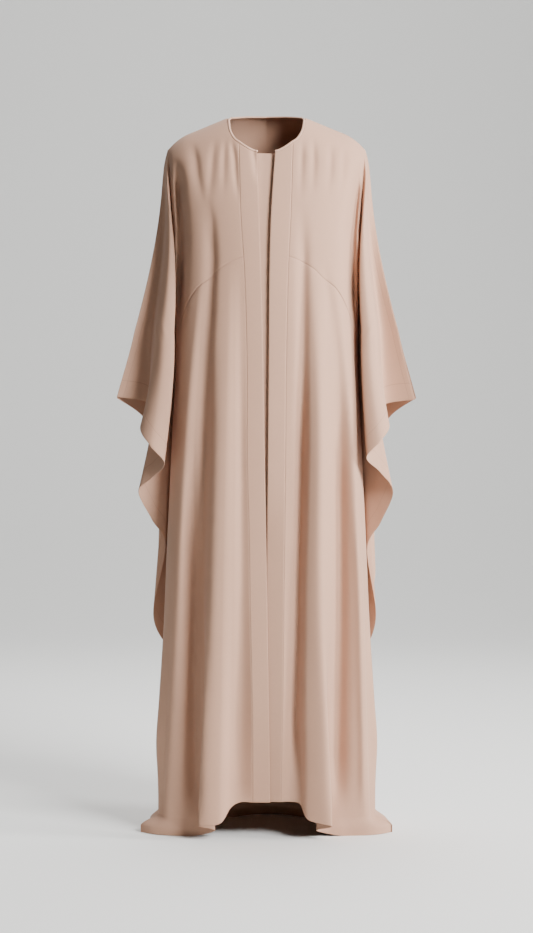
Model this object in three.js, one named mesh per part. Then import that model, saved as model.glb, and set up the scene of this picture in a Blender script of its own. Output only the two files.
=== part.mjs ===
import * as THREE from 'three';

// Open-front abaya with deep butterfly sleeves, hanging as worn by no one.
// Millimetres, +Z up, the front faces -Y and the wearer's right is at -X.
// Heights are above the floor. The group is lowered at the end, so that the
// origin is between the shoulders, where a wearer holds the garment up.
// Out is the distance from the middle plane, for either side of the body.
// Depth is the Y value: the front is negative and the back is positive.

// Driving sizes
const SHOULDER_HEIGHT = 1495;
const WALL = 2;
const SEAM_GAP = 0.5;
const SIDE_SEAM_GAP = 1.2;
const BAND_GAP = 1.1;
const SHOULDER_GAP = 1.5;
const OVERARM_GAP = 3.2;
const ARMHOLE_GAP = 2.5;
const UNDERARM_LIFT = 3.2;
const SECTION_POWER = 2.3;
const SHOULDER_ROUNDING = 90;
const SIDE_SEAM_ANGLE = 100;
const NECK_HALF_WIDTH = 81.5;
const SHOULDER_POINT = 205;
const SHOULDER_POINT_HEIGHT = 1430;
const UNDERARM_HEIGHT = 1235;
const YOKE_SIDE_HEIGHT = 1040;
const ELBOW_HEIGHT = 1050;
const HIP_HEIGHT = 850;
const KNEE_HEIGHT = 450;
const FLOOR_CLEARANCE = 1.2;
const POOL_HEIGHT = 39;
const POOL_SPREAD_END = 0.5;
const SLEEVE_SAG = 8;
const SLEEVE_CAP = 4;
const CAP_HEIGHT = 6;
const SLEEVE_FLARE = 1.6;
const BACK_CLIMB = 1.5;
const BAND_NECK_CURVE = 1.5;
const EDGE_PULL = 3;
const SEAM_START = 0.2;
const UNDERARM_START = 0.8;
const UNDERARM_CURL_START = 0.93;
const LIFT_START = 0.55;
const LIFT_FULL = 0.85;
const BACK_SEAM_EASE = 0.92;
const TOE_FORWARD = 2;
const BINDING_RADIUS = 2.5;
const BINDING_GAP = 0.95;
// Middle of the neck opening, a little above it
const NECK_CENTRE = [0, -10, 1520];

const UNDERLAP_SEAM_GAP = 3;
const UNDERLAP_NECK_DROP = 2;
const UNDERLAP_HEM_LIFT = 12;
const BAND_TOP = 1413;

// Grid counts
const FRONT_COLUMNS = 27;
const YOKE_ROWS = 9;
const SKIRT_ROWS = 12;
const POOL_ROWS = 4;
const BACK_COLUMNS = 40;
const BAND_COLUMNS = 2;
const BAND_ROWS = 26;
const SLEEVE_ROWS = 11;
const SLEEVE_STEPS_PER_FOLD = 2;
const BINDING_SIDES = 8;
const NECK_SHARE_FRONT = 0.26;
const NECK_SHARE_BACK = 0.36;
const ROW_CROWDING = 1.6;

const RIGHT = -1;
const LEFT = 1;

// Body sections from the floor up: half width, depth in front and depth behind
const BODY = [
  { z: 0, half: 229, front: 88, back: 142 },
  { z: 40, half: 229, front: 88, back: 142 },
  { z: 76, half: 229, front: 88, back: 141 },
  { z: 115, half: 230, front: 92, back: 140 },
  { z: 190, half: 233, front: 100, back: 138 },
  { z: 277, half: 227, front: 108, back: 136 },
  { z: 445, half: 216, front: 114, back: 132 },
  { z: 603, half: 209, front: 114, back: 129 },
  { z: 750, half: 202, front: 113, back: 127 },
  { z: 850, half: 197, front: 113, back: 124 },
  { z: 950, half: 191, front: 114, back: 116 },
  { z: 1040, half: 190, front: 116, back: 104 },
  { z: 1150, half: 193, front: 119, back: 98 },
  { z: 1235, half: 197, front: 120, back: 103 },
  { z: 1300, half: 203, front: 117, back: 109 },
  { z: 1350, half: 207, front: 107, back: 110 },
  { z: 1400, half: 210, front: 93, back: 103 },
  { z: 1435, half: 212, front: 84, back: 95 },
  { z: 1510, half: 216, front: 70, back: 84 },
];

// Top line of the shoulders, from the middle out
const SHOULDER = [
  { out: 0, z: 1520 },
  { out: 40, z: 1511 },
  { out: 81.5, z: 1495 },
  { out: 140, z: 1471 },
  { out: 171, z: 1458 },
  { out: 192, z: 1443 },
  { out: 205, z: 1430 },
];

// Front neck edge from the band's front edge to the shoulder
const FRONT_NECK = [
  { share: -0.9, out: 20, z: 1413 },
  { share: 0.0, out: 57, z: 1433 },
  { share: 0.35, out: 69.5, z: 1444 },
  { share: 0.7, out: 79, z: 1466 },
  { share: 1.0, out: 81.5, z: 1495 },
];

// Back neck edge from the middle out
const BACK_NECK = [
  { out: 0, z: 1503.5 },
  { out: 40, z: 1502 },
  { out: 63, z: 1499 },
  { out: 81.5, z: 1495 },
];

// Front armhole, a nearly straight line down the side of the chest
const FRONT_ARMHOLE = [
  { z: 1235, out: 194.4 },
  { z: 1340, out: 199.5 },
  { z: 1430, out: 205 },
];

// Back armhole as the angle round the body from the middle of the back
const BACK_ARMHOLE = [
  { z: 1235, angle: 100 },
  { z: 1246, angle: 88 },
  { z: 1264, angle: 76 },
  { z: 1292, angle: 66 },
  { z: 1330, angle: 61 },
  { z: 1370, angle: 62 },
  { z: 1405, angle: 67 },
  { z: 1430, angle: 75.3 },
];

// Seam that joins each front band to its panel, and the front edge of each band
const BAND_LINES = [
  { z: 50, rightSeam: 29, rightEdge: 8, leftSeam: 29, leftEdge: -7 },
  { z: 113, rightSeam: 29.5, rightEdge: 7.2, leftSeam: 30, leftEdge: -5.5 },
  { z: 279, rightSeam: 30, rightEdge: 4.8, leftSeam: 33.5, leftEdge: -2.5 },
  { z: 445, rightSeam: 33.5, rightEdge: 2.3, leftSeam: 35, leftEdge: -1 },
  { z: 617, rightSeam: 36, rightEdge: -0.6, leftSeam: 37, leftEdge: 1.2 },
  { z: 783, rightSeam: 40, rightEdge: -3.5, leftSeam: 38.5, leftEdge: 3 },
  { z: 1000, rightSeam: 40.5, rightEdge: -7, leftSeam: 40.5, leftEdge: 4.8 },
  { z: 1164, rightSeam: 45, rightEdge: -11, leftSeam: 44, leftEdge: 6 },
  { z: 1288, rightSeam: 53, rightEdge: -15, leftSeam: 49.5, leftEdge: 9.5 },
  { z: 1433, rightSeam: 57, rightEdge: -20.5, leftSeam: 54, leftEdge: 19 },
];

// Yoke seam under the bust, from the middle out to the side seam
const YOKE_SEAM = [
  { out: 30, z: 1200 },
  { out: 46, z: 1198 },
  { out: 72, z: 1188 },
  { out: 97, z: 1173 },
  { out: 116, z: 1155 },
  { out: 141, z: 1136 },
  { out: 159, z: 1110 },
  { out: 171, z: 1082 },
  { out: 187.6, z: 1040 },
];

// Soft folds from the shoulders: out at the top and at the bust, depth, half width
const YOKE_FOLDS = [
  { side: RIGHT, top: 76, bust: 60, depth: 2.6, width: 8 },
  { side: RIGHT, top: 108, bust: 112, depth: 3.2, width: 9 },
  { side: RIGHT, top: 147, bust: 141, depth: 3.6, width: 9 },
  { side: RIGHT, top: 176, bust: 165, depth: 4.2, width: 8 },
  { side: LEFT, top: 76, bust: 70, depth: 2.2, width: 8 },
  { side: LEFT, top: 103, bust: 98, depth: 2.2, width: 8 },
  { side: LEFT, top: 133, bust: 126, depth: 2.6, width: 9 },
  { side: LEFT, top: 186, bust: 180, depth: 4.0, width: 8 },
];
const YOKE_FOLD_TOP = 1455;
const YOKE_FOLD_DEEPEST = 1400;
const YOKE_FOLD_BUST = 1300;
const YOKE_FOLD_END = 1200;

// Fold lines of the front panels, from the band out to the side. Each row is
// one crest or valley: out at the yoke, then out and depth at hip, knee and
// hem, the hem's height, and how far the cloth spreads over the floor.
const RIGHT_SKIRT = [
  { yoke: 54, hipOut: 52, hip: -110, kneeOut: 50, knee: -108, hemOut: 54, hem: -86, rise: 76, toe: 0 },
  { yoke: 66, hipOut: 66, hip: -115, kneeOut: 69, knee: -115, hemOut: 74, hem: -94, rise: 66, toe: 0 },
  { yoke: 78, hipOut: 84, hip: -118, kneeOut: 92, knee: -122, hemOut: 96, hem: -117, rise: 38, toe: 0 },
  { yoke: 98, hipOut: 108, hip: -111, kneeOut: 120, knee: -115, hemOut: 139, hem: -113, rise: 33, toe: 0 },
  { yoke: 112, hipOut: 126, hip: -91, kneeOut: 131, knee: -77, hemOut: 107, hem: -72, rise: 14, toe: 0 },
  { yoke: 126, hipOut: 145, hip: -84, kneeOut: 153, knee: -66, hemOut: 152, hem: -59, rise: 1.2, toe: 3 },
  { yoke: 142, hipOut: 165, hip: -83, kneeOut: 183, knee: -68, hemOut: 203, hem: -50, rise: 1.2, toe: 9 },
  { yoke: 166, hipOut: 184, hip: -56, kneeOut: 202, knee: -46, hemOut: 218, hem: -33, rise: 1.2, toe: 25 },
];
const LEFT_SKIRT = [
  { yoke: 58, hipOut: 56, hip: -109, kneeOut: 49, knee: -106, hemOut: 50, hem: -85, rise: 77, toe: 0 },
  { yoke: 73, hipOut: 73, hip: -104, kneeOut: 64, knee: -104, hemOut: 70, hem: -89, rise: 72, toe: 0 },
  { yoke: 88, hipOut: 92, hip: -114, kneeOut: 84, knee: -117, hemOut: 86, hem: -108, rise: 44, toe: 0 },
  { yoke: 104, hipOut: 112, hip: -117, kneeOut: 114, knee: -122, hemOut: 134, hem: -115, rise: 32, toe: 0 },
  { yoke: 122, hipOut: 134, hip: -96, kneeOut: 136, knee: -84, hemOut: 104, hem: -72, rise: 14, toe: 0 },
  { yoke: 135, hipOut: 153, hip: -82, kneeOut: 158, knee: -65, hemOut: 156, hem: -57, rise: 1.2, toe: 3 },
  { yoke: 150, hipOut: 176, hip: -78, kneeOut: 194, knee: -62, hemOut: 206, hem: -49, rise: 1.2, toe: 9 },
  { yoke: 170, hipOut: 188, hip: -52, kneeOut: 205, knee: -42, hemOut: 218, hem: -33, rise: 1.2, toe: 25 },
];
const SIDE_TOE = 38;

// Folds down the back: angle from the middle, half width, height at hip and hem
const BACK_FOLDS = [
  { angle: -84, width: 7, hip: -3, hem: -9 },
  { angle: -68, width: 8, hip: 2, hem: 11 },
  { angle: -51, width: 8, hip: -6, hem: -18 },
  { angle: -34, width: 8, hip: 5, hem: 16 },
  { angle: -17, width: 8, hip: -7, hem: -20 },
  { angle: 1, width: 9, hip: 5, hem: 13 },
  { angle: 20, width: 9, hip: -6, hem: -17 },
  { angle: 39, width: 9, hip: 6, hem: 18 },
  { angle: 57, width: 7, hip: -5, hem: -15 },
  { angle: 74, width: 8, hip: 1, hem: 8 },
];
const BACK_FOLD_TOP = 1180;

// Spread of the back hem over the floor by angle from the middle
const BACK_TOES = [
  { angle: 0, toe: 9 },
  { angle: 50, toe: 12 },
  { angle: 75, toe: 24 },
  { angle: 100, toe: 38 },
];

// Fold lines of the sleeves, from the overarm seam to the underarm seam. Each
// row hangs from a share of the armhole, past the elbow's height, to the hem.
const RIGHT_SLEEVE_FRONT = [
  { from: 0.0, midOut: 277, mid: -1, hemOut: 314, hem: 0, hemZ: 914 },
  { from: 0.1, midOut: 247, mid: -12, hemOut: 251, hem: -16, hemZ: 899 },
  { from: 0.22, midOut: 229, mid: -46, hemOut: 261, hem: -62, hemZ: 849 },
  { from: 0.36, midOut: 212, mid: -66, hemOut: 238, hem: -93, hemZ: 812 },
  { from: 0.5, midOut: 191, mid: -60, hemOut: 210, hem: -84, hemZ: 776 },
  { from: 0.6, midOut: 206, mid: -44, hemOut: 238, hem: -54, hemZ: 745 },
  { from: 0.7, midOut: 218, mid: -32, hemOut: 267, hem: -30, hemZ: 716 },
  { from: 0.78, midOut: 209, mid: -18, hemOut: 241, hem: -1, hemZ: 656 },
  { from: 0.86, midOut: 198, mid: -2, hemOut: 214, hem: 22, hemZ: 597 },
  { from: 0.93, midOut: 207, mid: 9, hemOut: 241, hem: 44, hemZ: 452 },
  { from: 1.0, midOut: 194.5, mid: 13, hemOut: 214, hem: 70, hemZ: 381 },
];
const LEFT_SLEEVE_FRONT = [
  { from: 0.0, midOut: 276, mid: -1, hemOut: 312, hem: 0, hemZ: 908 },
  { from: 0.1, midOut: 245, mid: -12, hemOut: 250, hem: -16, hemZ: 896 },
  { from: 0.22, midOut: 231, mid: -46, hemOut: 254, hem: -62, hemZ: 853 },
  { from: 0.36, midOut: 214, mid: -66, hemOut: 234, hem: -92, hemZ: 822 },
  { from: 0.5, midOut: 196, mid: -60, hemOut: 206, hem: -84, hemZ: 788 },
  { from: 0.6, midOut: 208, mid: -44, hemOut: 236, hem: -54, hemZ: 757 },
  { from: 0.7, midOut: 218, mid: -32, hemOut: 264, hem: -30, hemZ: 715 },
  { from: 0.78, midOut: 209, mid: -18, hemOut: 240, hem: -1, hemZ: 650 },
  { from: 0.86, midOut: 198, mid: -2, hemOut: 213, hem: 22, hemZ: 590 },
  { from: 0.93, midOut: 207, mid: 9, hemOut: 233, hem: 44, hemZ: 449 },
  { from: 1.0, midOut: 194.5, mid: 13, hemOut: 214, hem: 70, hemZ: 376 },
];
const SLEEVE_BACK = [
  { from: 0.0, midOut: 277, mid: 0, hemOut: 314, hem: 0, hemZ: 911 },
  { from: 0.14, midOut: 252, mid: 28, hemOut: 263, hem: 58, hemZ: 872 },
  { from: 0.28, midOut: 229, mid: 52, hemOut: 238, hem: 98, hemZ: 812 },
  { from: 0.42, midOut: 235, mid: 70, hemOut: 255, hem: 106, hemZ: 742 },
  { from: 0.56, midOut: 213, mid: 78, hemOut: 214, hem: 116, hemZ: 650 },
  { from: 0.7, midOut: 220, mid: 80, hemOut: 236, hem: 124, hemZ: 545 },
  { from: 0.85, midOut: 208, mid: 62, hemOut: 221, hem: 108, hemZ: 450 },
  { from: 1.0, midOut: 194.5, mid: 13, hemOut: 214, hem: 70, hemZ: 379 },
];

// How far the under band sinks behind the upper one where the fronts lap
const LAP_SINK = 4.6;
const LAP_START = 760;
const LAP_FULL = 620;

// Inner panel behind the bands: sideways from the middle, and how far behind
const UNDERLAP_ACROSS = [
  { x: -40, behind: 3.7 },
  { x: -22, behind: 4.5 },
  { x: -4, behind: 7.2 },
  { x: 14, behind: 9.2 },
  { x: 30, behind: 9.8 },
];

const CLOTH = { color: 0xc9ab99, roughness: 0.72, metalness: 0.0 };
const BINDING_CLOTH = { color: 0xd4b8a7, roughness: 0.6, metalness: 0.0 };

const clamp = (value, low, high) => Math.min(Math.max(value, low), high);
const mix = (from, to, share) => from + (to - from) * share;
const radians = (degrees) => (degrees * Math.PI) / 180;

function ease(from, to, value) {
  const share = clamp((value - from) / (to - from), 0, 1);
  return share * share * (3 - 2 * share);
}

// Value of a column at a place along a key column, smooth through the rows
function read(rows, key, column, at) {
  const last = rows.length - 1;
  if (at <= rows[0][key]) return rows[0][column];
  if (at >= rows[last][key]) return rows[last][column];
  let i = 0;
  while (rows[i + 1][key] < at) i += 1;
  const slope = (n) => {
    const low = Math.max(n - 1, 0);
    const high = Math.min(n + 1, last);
    return (rows[high][column] - rows[low][column]) / (rows[high][key] - rows[low][key]);
  };
  const span = rows[i + 1][key] - rows[i][key];
  const t = (at - rows[i][key]) / span;
  const startPull = slope(i) * span;
  const endPull = slope(i + 1) * span;
  const start = rows[i][column];
  const rise = rows[i + 1][column] - start;
  return start + startPull * t + (3 * rise - 2 * startPull - endPull) * t * t
    + (startPull + endPull - 2 * rise) * t * t * t;
}

// Point on a smooth line through a list of points, one unit of t a point
function along(points, t) {
  const last = points.length - 1;
  const i = clamp(Math.floor(t), 0, last - 1);
  const f = t - i;
  const at = (n) => points[clamp(n, 0, last)];
  const [a, b, c, d] = [at(i - 1), at(i), at(i + 1), at(i + 2)];
  const blend = (k) => {
    const p = (c[k] - a[k]) / 2;
    const q = (d[k] - b[k]) / 2;
    const rise = c[k] - b[k];
    return b[k] + p * f + (3 * rise - 2 * p - q) * f * f + (p + q - 2 * rise) * f * f * f;
  };
  return [blend(0), blend(1), blend(2)];
}

// Share of the full depth at a distance out, on the rounded oblong section
function sectionShare(out, half) {
  const across = clamp(Math.abs(out) / half, 0, 1);
  return (1 - across ** SECTION_POWER) ** (1 / SECTION_POWER);
}

// The shoulders round over from their top line down to the chest and back
function shoulderShare(out, z) {
  const drop = (read(SHOULDER, 'out', 'z', Math.abs(out)) - z) / SHOULDER_ROUNDING;
  const t = clamp(drop, 0, 1);
  return Math.sqrt(1 - (1 - t) * (1 - t));
}

function yokeFoldDepth(side, out, z) {
  const strength = ease(YOKE_FOLD_TOP, YOKE_FOLD_DEEPEST, z) * ease(YOKE_FOLD_END, YOKE_FOLD_BUST, z);
  if (strength <= 0) return 0;
  let depth = 0;
  for (const fold of YOKE_FOLDS) {
    if (fold.side !== side) continue;
    const down = clamp((YOKE_FOLD_TOP - z) / (YOKE_FOLD_TOP - YOKE_FOLD_BUST), 0, 1);
    const centre = mix(fold.top, fold.bust, down);
    const away = (out - centre) / fold.width;
    depth += fold.depth * strength * Math.exp(-away * away);
  }
  return depth;
}

function frontDepth(side, out, z) {
  const full = read(BODY, 'z', 'front', z);
  const half = read(BODY, 'z', 'half', z);
  const smooth = full * sectionShare(out, half) * shoulderShare(out, z);
  return -(smooth - yokeFoldDepth(side, out, z));
}

// Point round the body at an angle from the middle of the back
function roundBody(angle, z, lift) {
  const half = read(BODY, 'z', 'half', z);
  const turn = radians(Math.abs(angle));
  const share = Math.sin(turn) ** (2 / SECTION_POWER);
  const depthShare = Math.abs(Math.cos(turn)) ** (2 / SECTION_POWER);
  const out = half * share;
  const behind = Math.abs(angle) <= 90;
  const full = read(BODY, 'z', behind ? 'back' : 'front', z);
  const y = (behind ? 1 : -1) * full * depthShare * shoulderShare(out, z);
  const outward = Math.sign(angle) * Math.sin(turn);
  return [Math.sign(angle) * out + outward * lift, y + Math.cos(turn) * lift, z];
}

function sideSeam(side, z) {
  return roundBody(side * SIDE_SEAM_ANGLE, z, 0);
}

const seamColumn = (side) => (side === RIGHT ? 'rightSeam' : 'leftSeam');
const edgeColumn = (side) => (side === RIGHT ? 'rightEdge' : 'leftEdge');

function bandSeamOut(side, z) {
  return read(BAND_LINES, 'z', seamColumn(side), z);
}

// Heights down a column of a yoke or of the upper back, close together on top
function yokeHeight(top, bottom, row) {
  return mix(top, bottom, (row / YOKE_ROWS) ** ROW_CROWDING);
}

// Place of a yoke column's top, on the neck edge and then on the shoulder
function yokeTop(side, share) {
  if (share < NECK_SHARE_FRONT) {
    const t = share / NECK_SHARE_FRONT;
    const seam = bandSeamOut(side, SHOULDER_POINT_HEIGHT);
    const out = read(FRONT_NECK, 'share', 'out', t);
    const shift = (seam - FRONT_NECK[1].out) * (1 - t);
    return { out: out + shift, z: read(FRONT_NECK, 'share', 'z', t) };
  }
  const t = (share - NECK_SHARE_FRONT) / (1 - NECK_SHARE_FRONT);
  const out = mix(NECK_HALF_WIDTH, SHOULDER_POINT, t);
  return { out, z: read(SHOULDER, 'out', 'z', out) };
}

function skirtRows(side) {
  return side === RIGHT ? RIGHT_SKIRT : LEFT_SKIRT;
}

// Where a front column crosses the yoke seam
function yokeSeamOut(side, share) {
  const rows = skirtRows(side);
  const seam = bandSeamOut(side, YOKE_SEAM[1].z);
  const end = sideSeam(side, YOKE_SIDE_HEIGHT)[0] * side;
  const stops = [seam, ...rows.map((row) => row.yoke), end];
  const points = stops.map((out) => [out, 0, 0]);
  return along(points, share * (points.length - 1))[0];
}

function frontEdgeOut(side, z) {
  if (z < UNDERARM_HEIGHT) return sideSeam(side, z)[0] * side;
  return read(FRONT_ARMHOLE, 'z', 'out', z);
}

// Grid of points for a yoke, rows from the neck and shoulder to the seam
function yokeGrid(side) {
  const grid = [];
  for (let row = 0; row <= YOKE_ROWS; row += 1) {
    const line = [];
    for (let column = 0; column <= FRONT_COLUMNS; column += 1) {
      const share = column / FRONT_COLUMNS;
      const top = yokeTop(side, share);
      const foot = yokeSeamOut(side, share);
      const footZ = read(YOKE_SEAM, 'out', 'z', foot) + SEAM_GAP / 2;
      const z = yokeHeight(top.z, footZ, row);
      const down = (top.z - z) / (top.z - footZ);
      const innerTop = yokeTop(side, 0);
      const outerTop = yokeTop(side, 1);
      const straight = mix(top.out, foot, down);
      const innerLine = mix(innerTop.out, yokeSeamOut(side, 0), down);
      const outerLine = mix(outerTop.out, yokeSeamOut(side, 1), down);
      const inner = bandSeamOut(side, Math.min(z, innerTop.z)) - innerLine;
      const outer = frontEdgeOut(side, Math.min(z, outerTop.z)) - outerLine;
      const out = straight + inner * (1 - share) ** EDGE_PULL + outer * share ** EDGE_PULL;
      const y = frontDepth(side, out, z);
      const ridge = row === 0 && share > NECK_SHARE_FRONT ? -SHOULDER_GAP / 2 : 0;
      const inset = column === 0 ? BAND_GAP / 2 : 0;
      const atSide = column === FRONT_COLUMNS && z < UNDERARM_HEIGHT ? -SIDE_SEAM_GAP / 2 : 0;
      line.push([side * (out + inset), y + ridge + atSide, z]);
    }
    grid.push(line);
  }
  return grid;
}

// Height and outward spread near the floor, for a row below the pool height
function poolPoint(row, rise, toe) {
  const w = row / POOL_ROWS;
  return { z: rise + POOL_HEIGHT * (1 - w), spread: toe * ease(0, POOL_SPREAD_END, w) };
}

// Grid of points for a front panel, rows from the yoke seam to the hem
function panelGrid(side) {
  const rows = skirtRows(side);
  const count = rows.length + 1;
  const grid = [];
  const total = SKIRT_ROWS + POOL_ROWS;
  for (let row = 0; row <= total; row += 1) {
    const stations = [];
    for (let k = 0; k <= count; k += 1) {
      const fold = rows[k - 1];
      const yokeOut = yokeSeamOut(side, k / count);
      const topZ = read(YOKE_SEAM, 'out', 'z', yokeOut) - SEAM_GAP / 2;
      const rise = k === 0 ? rows[0].rise : k === count ? FLOOR_CLEARANCE : fold.rise;
      const toe = k === 0 ? 0 : k === count ? SIDE_TOE : fold.toe;
      const low = rise + POOL_HEIGHT;
      const pool = poolPoint(Math.max(row - SKIRT_ROWS, 0), rise, toe);
      const z = row <= SKIRT_ROWS ? mix(topZ, low, row / SKIRT_ROWS) : pool.z;
      if (k === 0) {
        const out = bandSeamOut(side, z) + BAND_GAP / 2;
        stations.push([out, frontDepth(side, out, z), z]);
      } else if (k === count) {
        const seam = sideSeam(side, z);
        stations.push([seam[0] * side + pool.spread, seam[1] - SIDE_SEAM_GAP / 2, z]);
      } else {
        const levels = [
          { z: low, out: fold.hemOut, y: fold.hem },
          { z: KNEE_HEIGHT, out: fold.kneeOut, y: fold.knee },
          { z: HIP_HEIGHT, out: fold.hipOut, y: fold.hip },
          { z: topZ, out: yokeOut, y: frontDepth(side, yokeOut, topZ) },
        ];
        const out = read(levels, 'z', 'out', z);
        const y = read(levels, 'z', 'y', z);
        const turn = Math.atan2(out, -y * TOE_FORWARD);
        stations.push([out + Math.sin(turn) * pool.spread, y - Math.cos(turn) * pool.spread, z]);
      }
    }
    const line = [];
    for (let column = 0; column <= FRONT_COLUMNS; column += 1) {
      const share = column / FRONT_COLUMNS;
      if (row === 0) {
        const out = yokeSeamOut(side, share);
        const z = read(YOKE_SEAM, 'out', 'z', out) - SEAM_GAP / 2;
        const inset = column === 0 ? BAND_GAP / 2 : 0;
        const atSide = column === FRONT_COLUMNS ? -SIDE_SEAM_GAP / 2 : 0;
        line.push([side * (out + inset), frontDepth(side, out, z) + atSide, z]);
      } else {
        const point = along(stations, share * count);
        line.push([side * point[0], point[1], point[2]]);
      }
    }
    grid.push(line);
  }
  return grid;
}

// Grid of points for a band, rows from the neck to the hem
function bandGrid(side) {
  const grid = [];
  const hem = skirtRows(side)[0].rise;
  for (let row = 0; row <= BAND_ROWS; row += 1) {
    const line = [];
    for (let column = 0; column <= BAND_COLUMNS; column += 1) {
      const share = column / BAND_COLUMNS;
      const neckLift = (1 - share) ** BAND_NECK_CURVE * (yokeTop(side, 0).z - BAND_TOP);
      const z = mix(BAND_TOP + neckLift, hem, row / BAND_ROWS);
      const seam = bandSeamOut(side, z) - BAND_GAP / 2;
      const edgeOut = read(BAND_LINES, 'z', edgeColumn(side), z) * side;
      const out = mix(seam, edgeOut, share);
      const sink = side === LEFT ? LAP_SINK * share * ease(LAP_START, LAP_FULL, z) : 0;
      line.push([side * out, frontDepth(side, Math.abs(out), z) + sink, z]);
    }
    grid.push(line);
  }
  return grid;
}

// Angle and height of the top of a back column, on the neck and the shoulder
function backTop(share) {
  const size = Math.abs(share);
  let out = mix(NECK_HALF_WIDTH, SHOULDER_POINT, (size - NECK_SHARE_BACK) / (1 - NECK_SHARE_BACK));
  let z = read(SHOULDER, 'out', 'z', out);
  if (size < NECK_SHARE_BACK) {
    out = NECK_HALF_WIDTH * (size / NECK_SHARE_BACK);
    z = read(BACK_NECK, 'out', 'z', out);
  }
  const half = read(BODY, 'z', 'half', z);
  const angle = (Math.asin((out / half) ** (SECTION_POWER / 2)) * 180) / Math.PI;
  return { angle: Math.sign(share) * angle, z };
}

function backFoldLift(angle, z) {
  let lift = 0;
  for (const fold of BACK_FOLDS) {
    const away = (angle - fold.angle) / fold.width;
    const atHip = ease(BACK_FOLD_TOP, HIP_HEIGHT, z) * fold.hip;
    const below = ease(HIP_HEIGHT, 0, z) * (fold.hem - fold.hip);
    lift += (atHip + below) * Math.exp(-away * away);
  }
  return lift;
}

// Grid of points for the back, rows from the neck and shoulders to the floor
function backGrid() {
  const grid = [];
  const total = YOKE_ROWS + SKIRT_ROWS + POOL_ROWS;
  for (let row = 0; row <= total; row += 1) {
    const line = [];
    for (let column = 0; column <= BACK_COLUMNS; column += 1) {
      const share = (2 * column) / BACK_COLUMNS - 1;
      const top = backTop(share);
      const low = FLOOR_CLEARANCE + POOL_HEIGHT;
      const angleBelow = share * SIDE_SEAM_ANGLE;
      const toe = read(BACK_TOES, 'angle', 'toe', Math.abs(angleBelow));
      const pool = poolPoint(Math.max(row - YOKE_ROWS - SKIRT_ROWS, 0), FLOOR_CLEARANCE, toe);
      let z = pool.z;
      if (row <= YOKE_ROWS) z = yokeHeight(top.z, YOKE_SIDE_HEIGHT, row);
      else if (row <= YOKE_ROWS + SKIRT_ROWS) {
        z = mix(YOKE_SIDE_HEIGHT, low, (row - YOKE_ROWS) / SKIRT_ROWS);
      }
      const climb = clamp((z - UNDERARM_HEIGHT) / (top.z - UNDERARM_HEIGHT), 0, 1);
      const edge = read(BACK_ARMHOLE, 'z', 'angle', Math.min(z, SHOULDER_POINT_HEIGHT));
      const edgeTop = BACK_ARMHOLE[BACK_ARMHOLE.length - 1].angle;
      const angle = share * edge + (top.angle - share * edgeTop) * climb ** BACK_CLIMB;
      const atSeam = column === 0 || column === BACK_COLUMNS;
      const lift = atSeam ? 0 : backFoldLift(angle, z) * ease(1, BACK_SEAM_EASE, Math.abs(share));
      const point = roundBody(angle, z, lift + pool.spread);
      if (atSeam) {
        const seam = roundBody(angle, z, 0);
        point[0] = seam[0] + Math.sign(share) * pool.spread;
        point[1] = seam[1] + SIDE_SEAM_GAP / 2;
      }
      const onShoulder = row === 0 && Math.abs(share) > NECK_SHARE_BACK;
      if (onShoulder) point[1] += SHOULDER_GAP / 2;
      line.push(point);
    }
    grid.push(line);
  }
  return grid;
}

// Point of the armhole at a share of its fall from shoulder to underarm
function armholePoint(side, behind, share) {
  const z = mix(SHOULDER_POINT_HEIGHT, UNDERARM_HEIGHT, share);
  if (behind) return roundBody(side * read(BACK_ARMHOLE, 'z', 'angle', z), z, 0);
  const out = read(FRONT_ARMHOLE, 'z', 'out', z);
  return [side * out, frontDepth(side, out, z), z];
}

// Grid of points for half a sleeve, rows from the armhole to the hem
function sleeveGrid(side, behind, folds) {
  const grid = [];
  const columns = (folds.length - 1) * SLEEVE_STEPS_PER_FOLD;
  const turn = behind ? 1 : -1;
  const seamShift = (from) => {
    return ((turn * OVERARM_GAP) / 2) * (ease(SEAM_START, 0, from) + ease(UNDERARM_START, 1, from));
  };
  const starts = folds.map((fold) => {
    const seat = armholePoint(side, behind, fold.from);
    const lift = UNDERARM_LIFT * ease(LIFT_START, LIFT_FULL, fold.from);
    return [seat[0] * side + ARMHOLE_GAP + lift, seat[1] + seamShift(fold.from), seat[2]];
  });
  for (let row = 0; row <= SLEEVE_ROWS; row += 1) {
    const stations = folds.map((fold, k) => {
      const z = mix(starts[k][2], fold.hemZ, row / SLEEVE_ROWS);
      const shift = seamShift(fold.from);
      const below = clamp((ELBOW_HEIGHT - z) / (ELBOW_HEIGHT - fold.hemZ), 0, 1);
      const above = clamp((z - ELBOW_HEIGHT) / (starts[k][2] - ELBOW_HEIGHT), 0, 1);
      const curl = ease(0, SEAM_START, fold.from) * ease(1, UNDERARM_CURL_START, fold.from);
      const flare = (below ** SLEEVE_FLARE - below) * curl;
      const cap = SLEEVE_CAP * Math.sin(Math.PI * above ** CAP_HEIGHT);
      const sag = (SLEEVE_SAG * Math.sin(Math.PI * above) - cap) * (1 - fold.from);
      const levels = [
        { z: fold.hemZ, out: fold.hemOut, y: fold.hem + shift },
        { z: ELBOW_HEIGHT, out: fold.midOut, y: fold.mid + shift },
        { z: starts[k][2], out: starts[k][0], y: starts[k][1] },
      ];
      const out = read(levels, 'z', 'out', z) + flare * (fold.hemOut - fold.midOut) - sag;
      const y = read(levels, 'z', 'y', z) + flare * (fold.hem - fold.mid);
      return [side * out, y, z];
    });
    const line = [];
    for (let column = 0; column <= columns; column += 1) {
      line.push(along(stations, column / SLEEVE_STEPS_PER_FOLD));
    }
    grid.push(line);
  }
  return grid;
}

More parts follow.
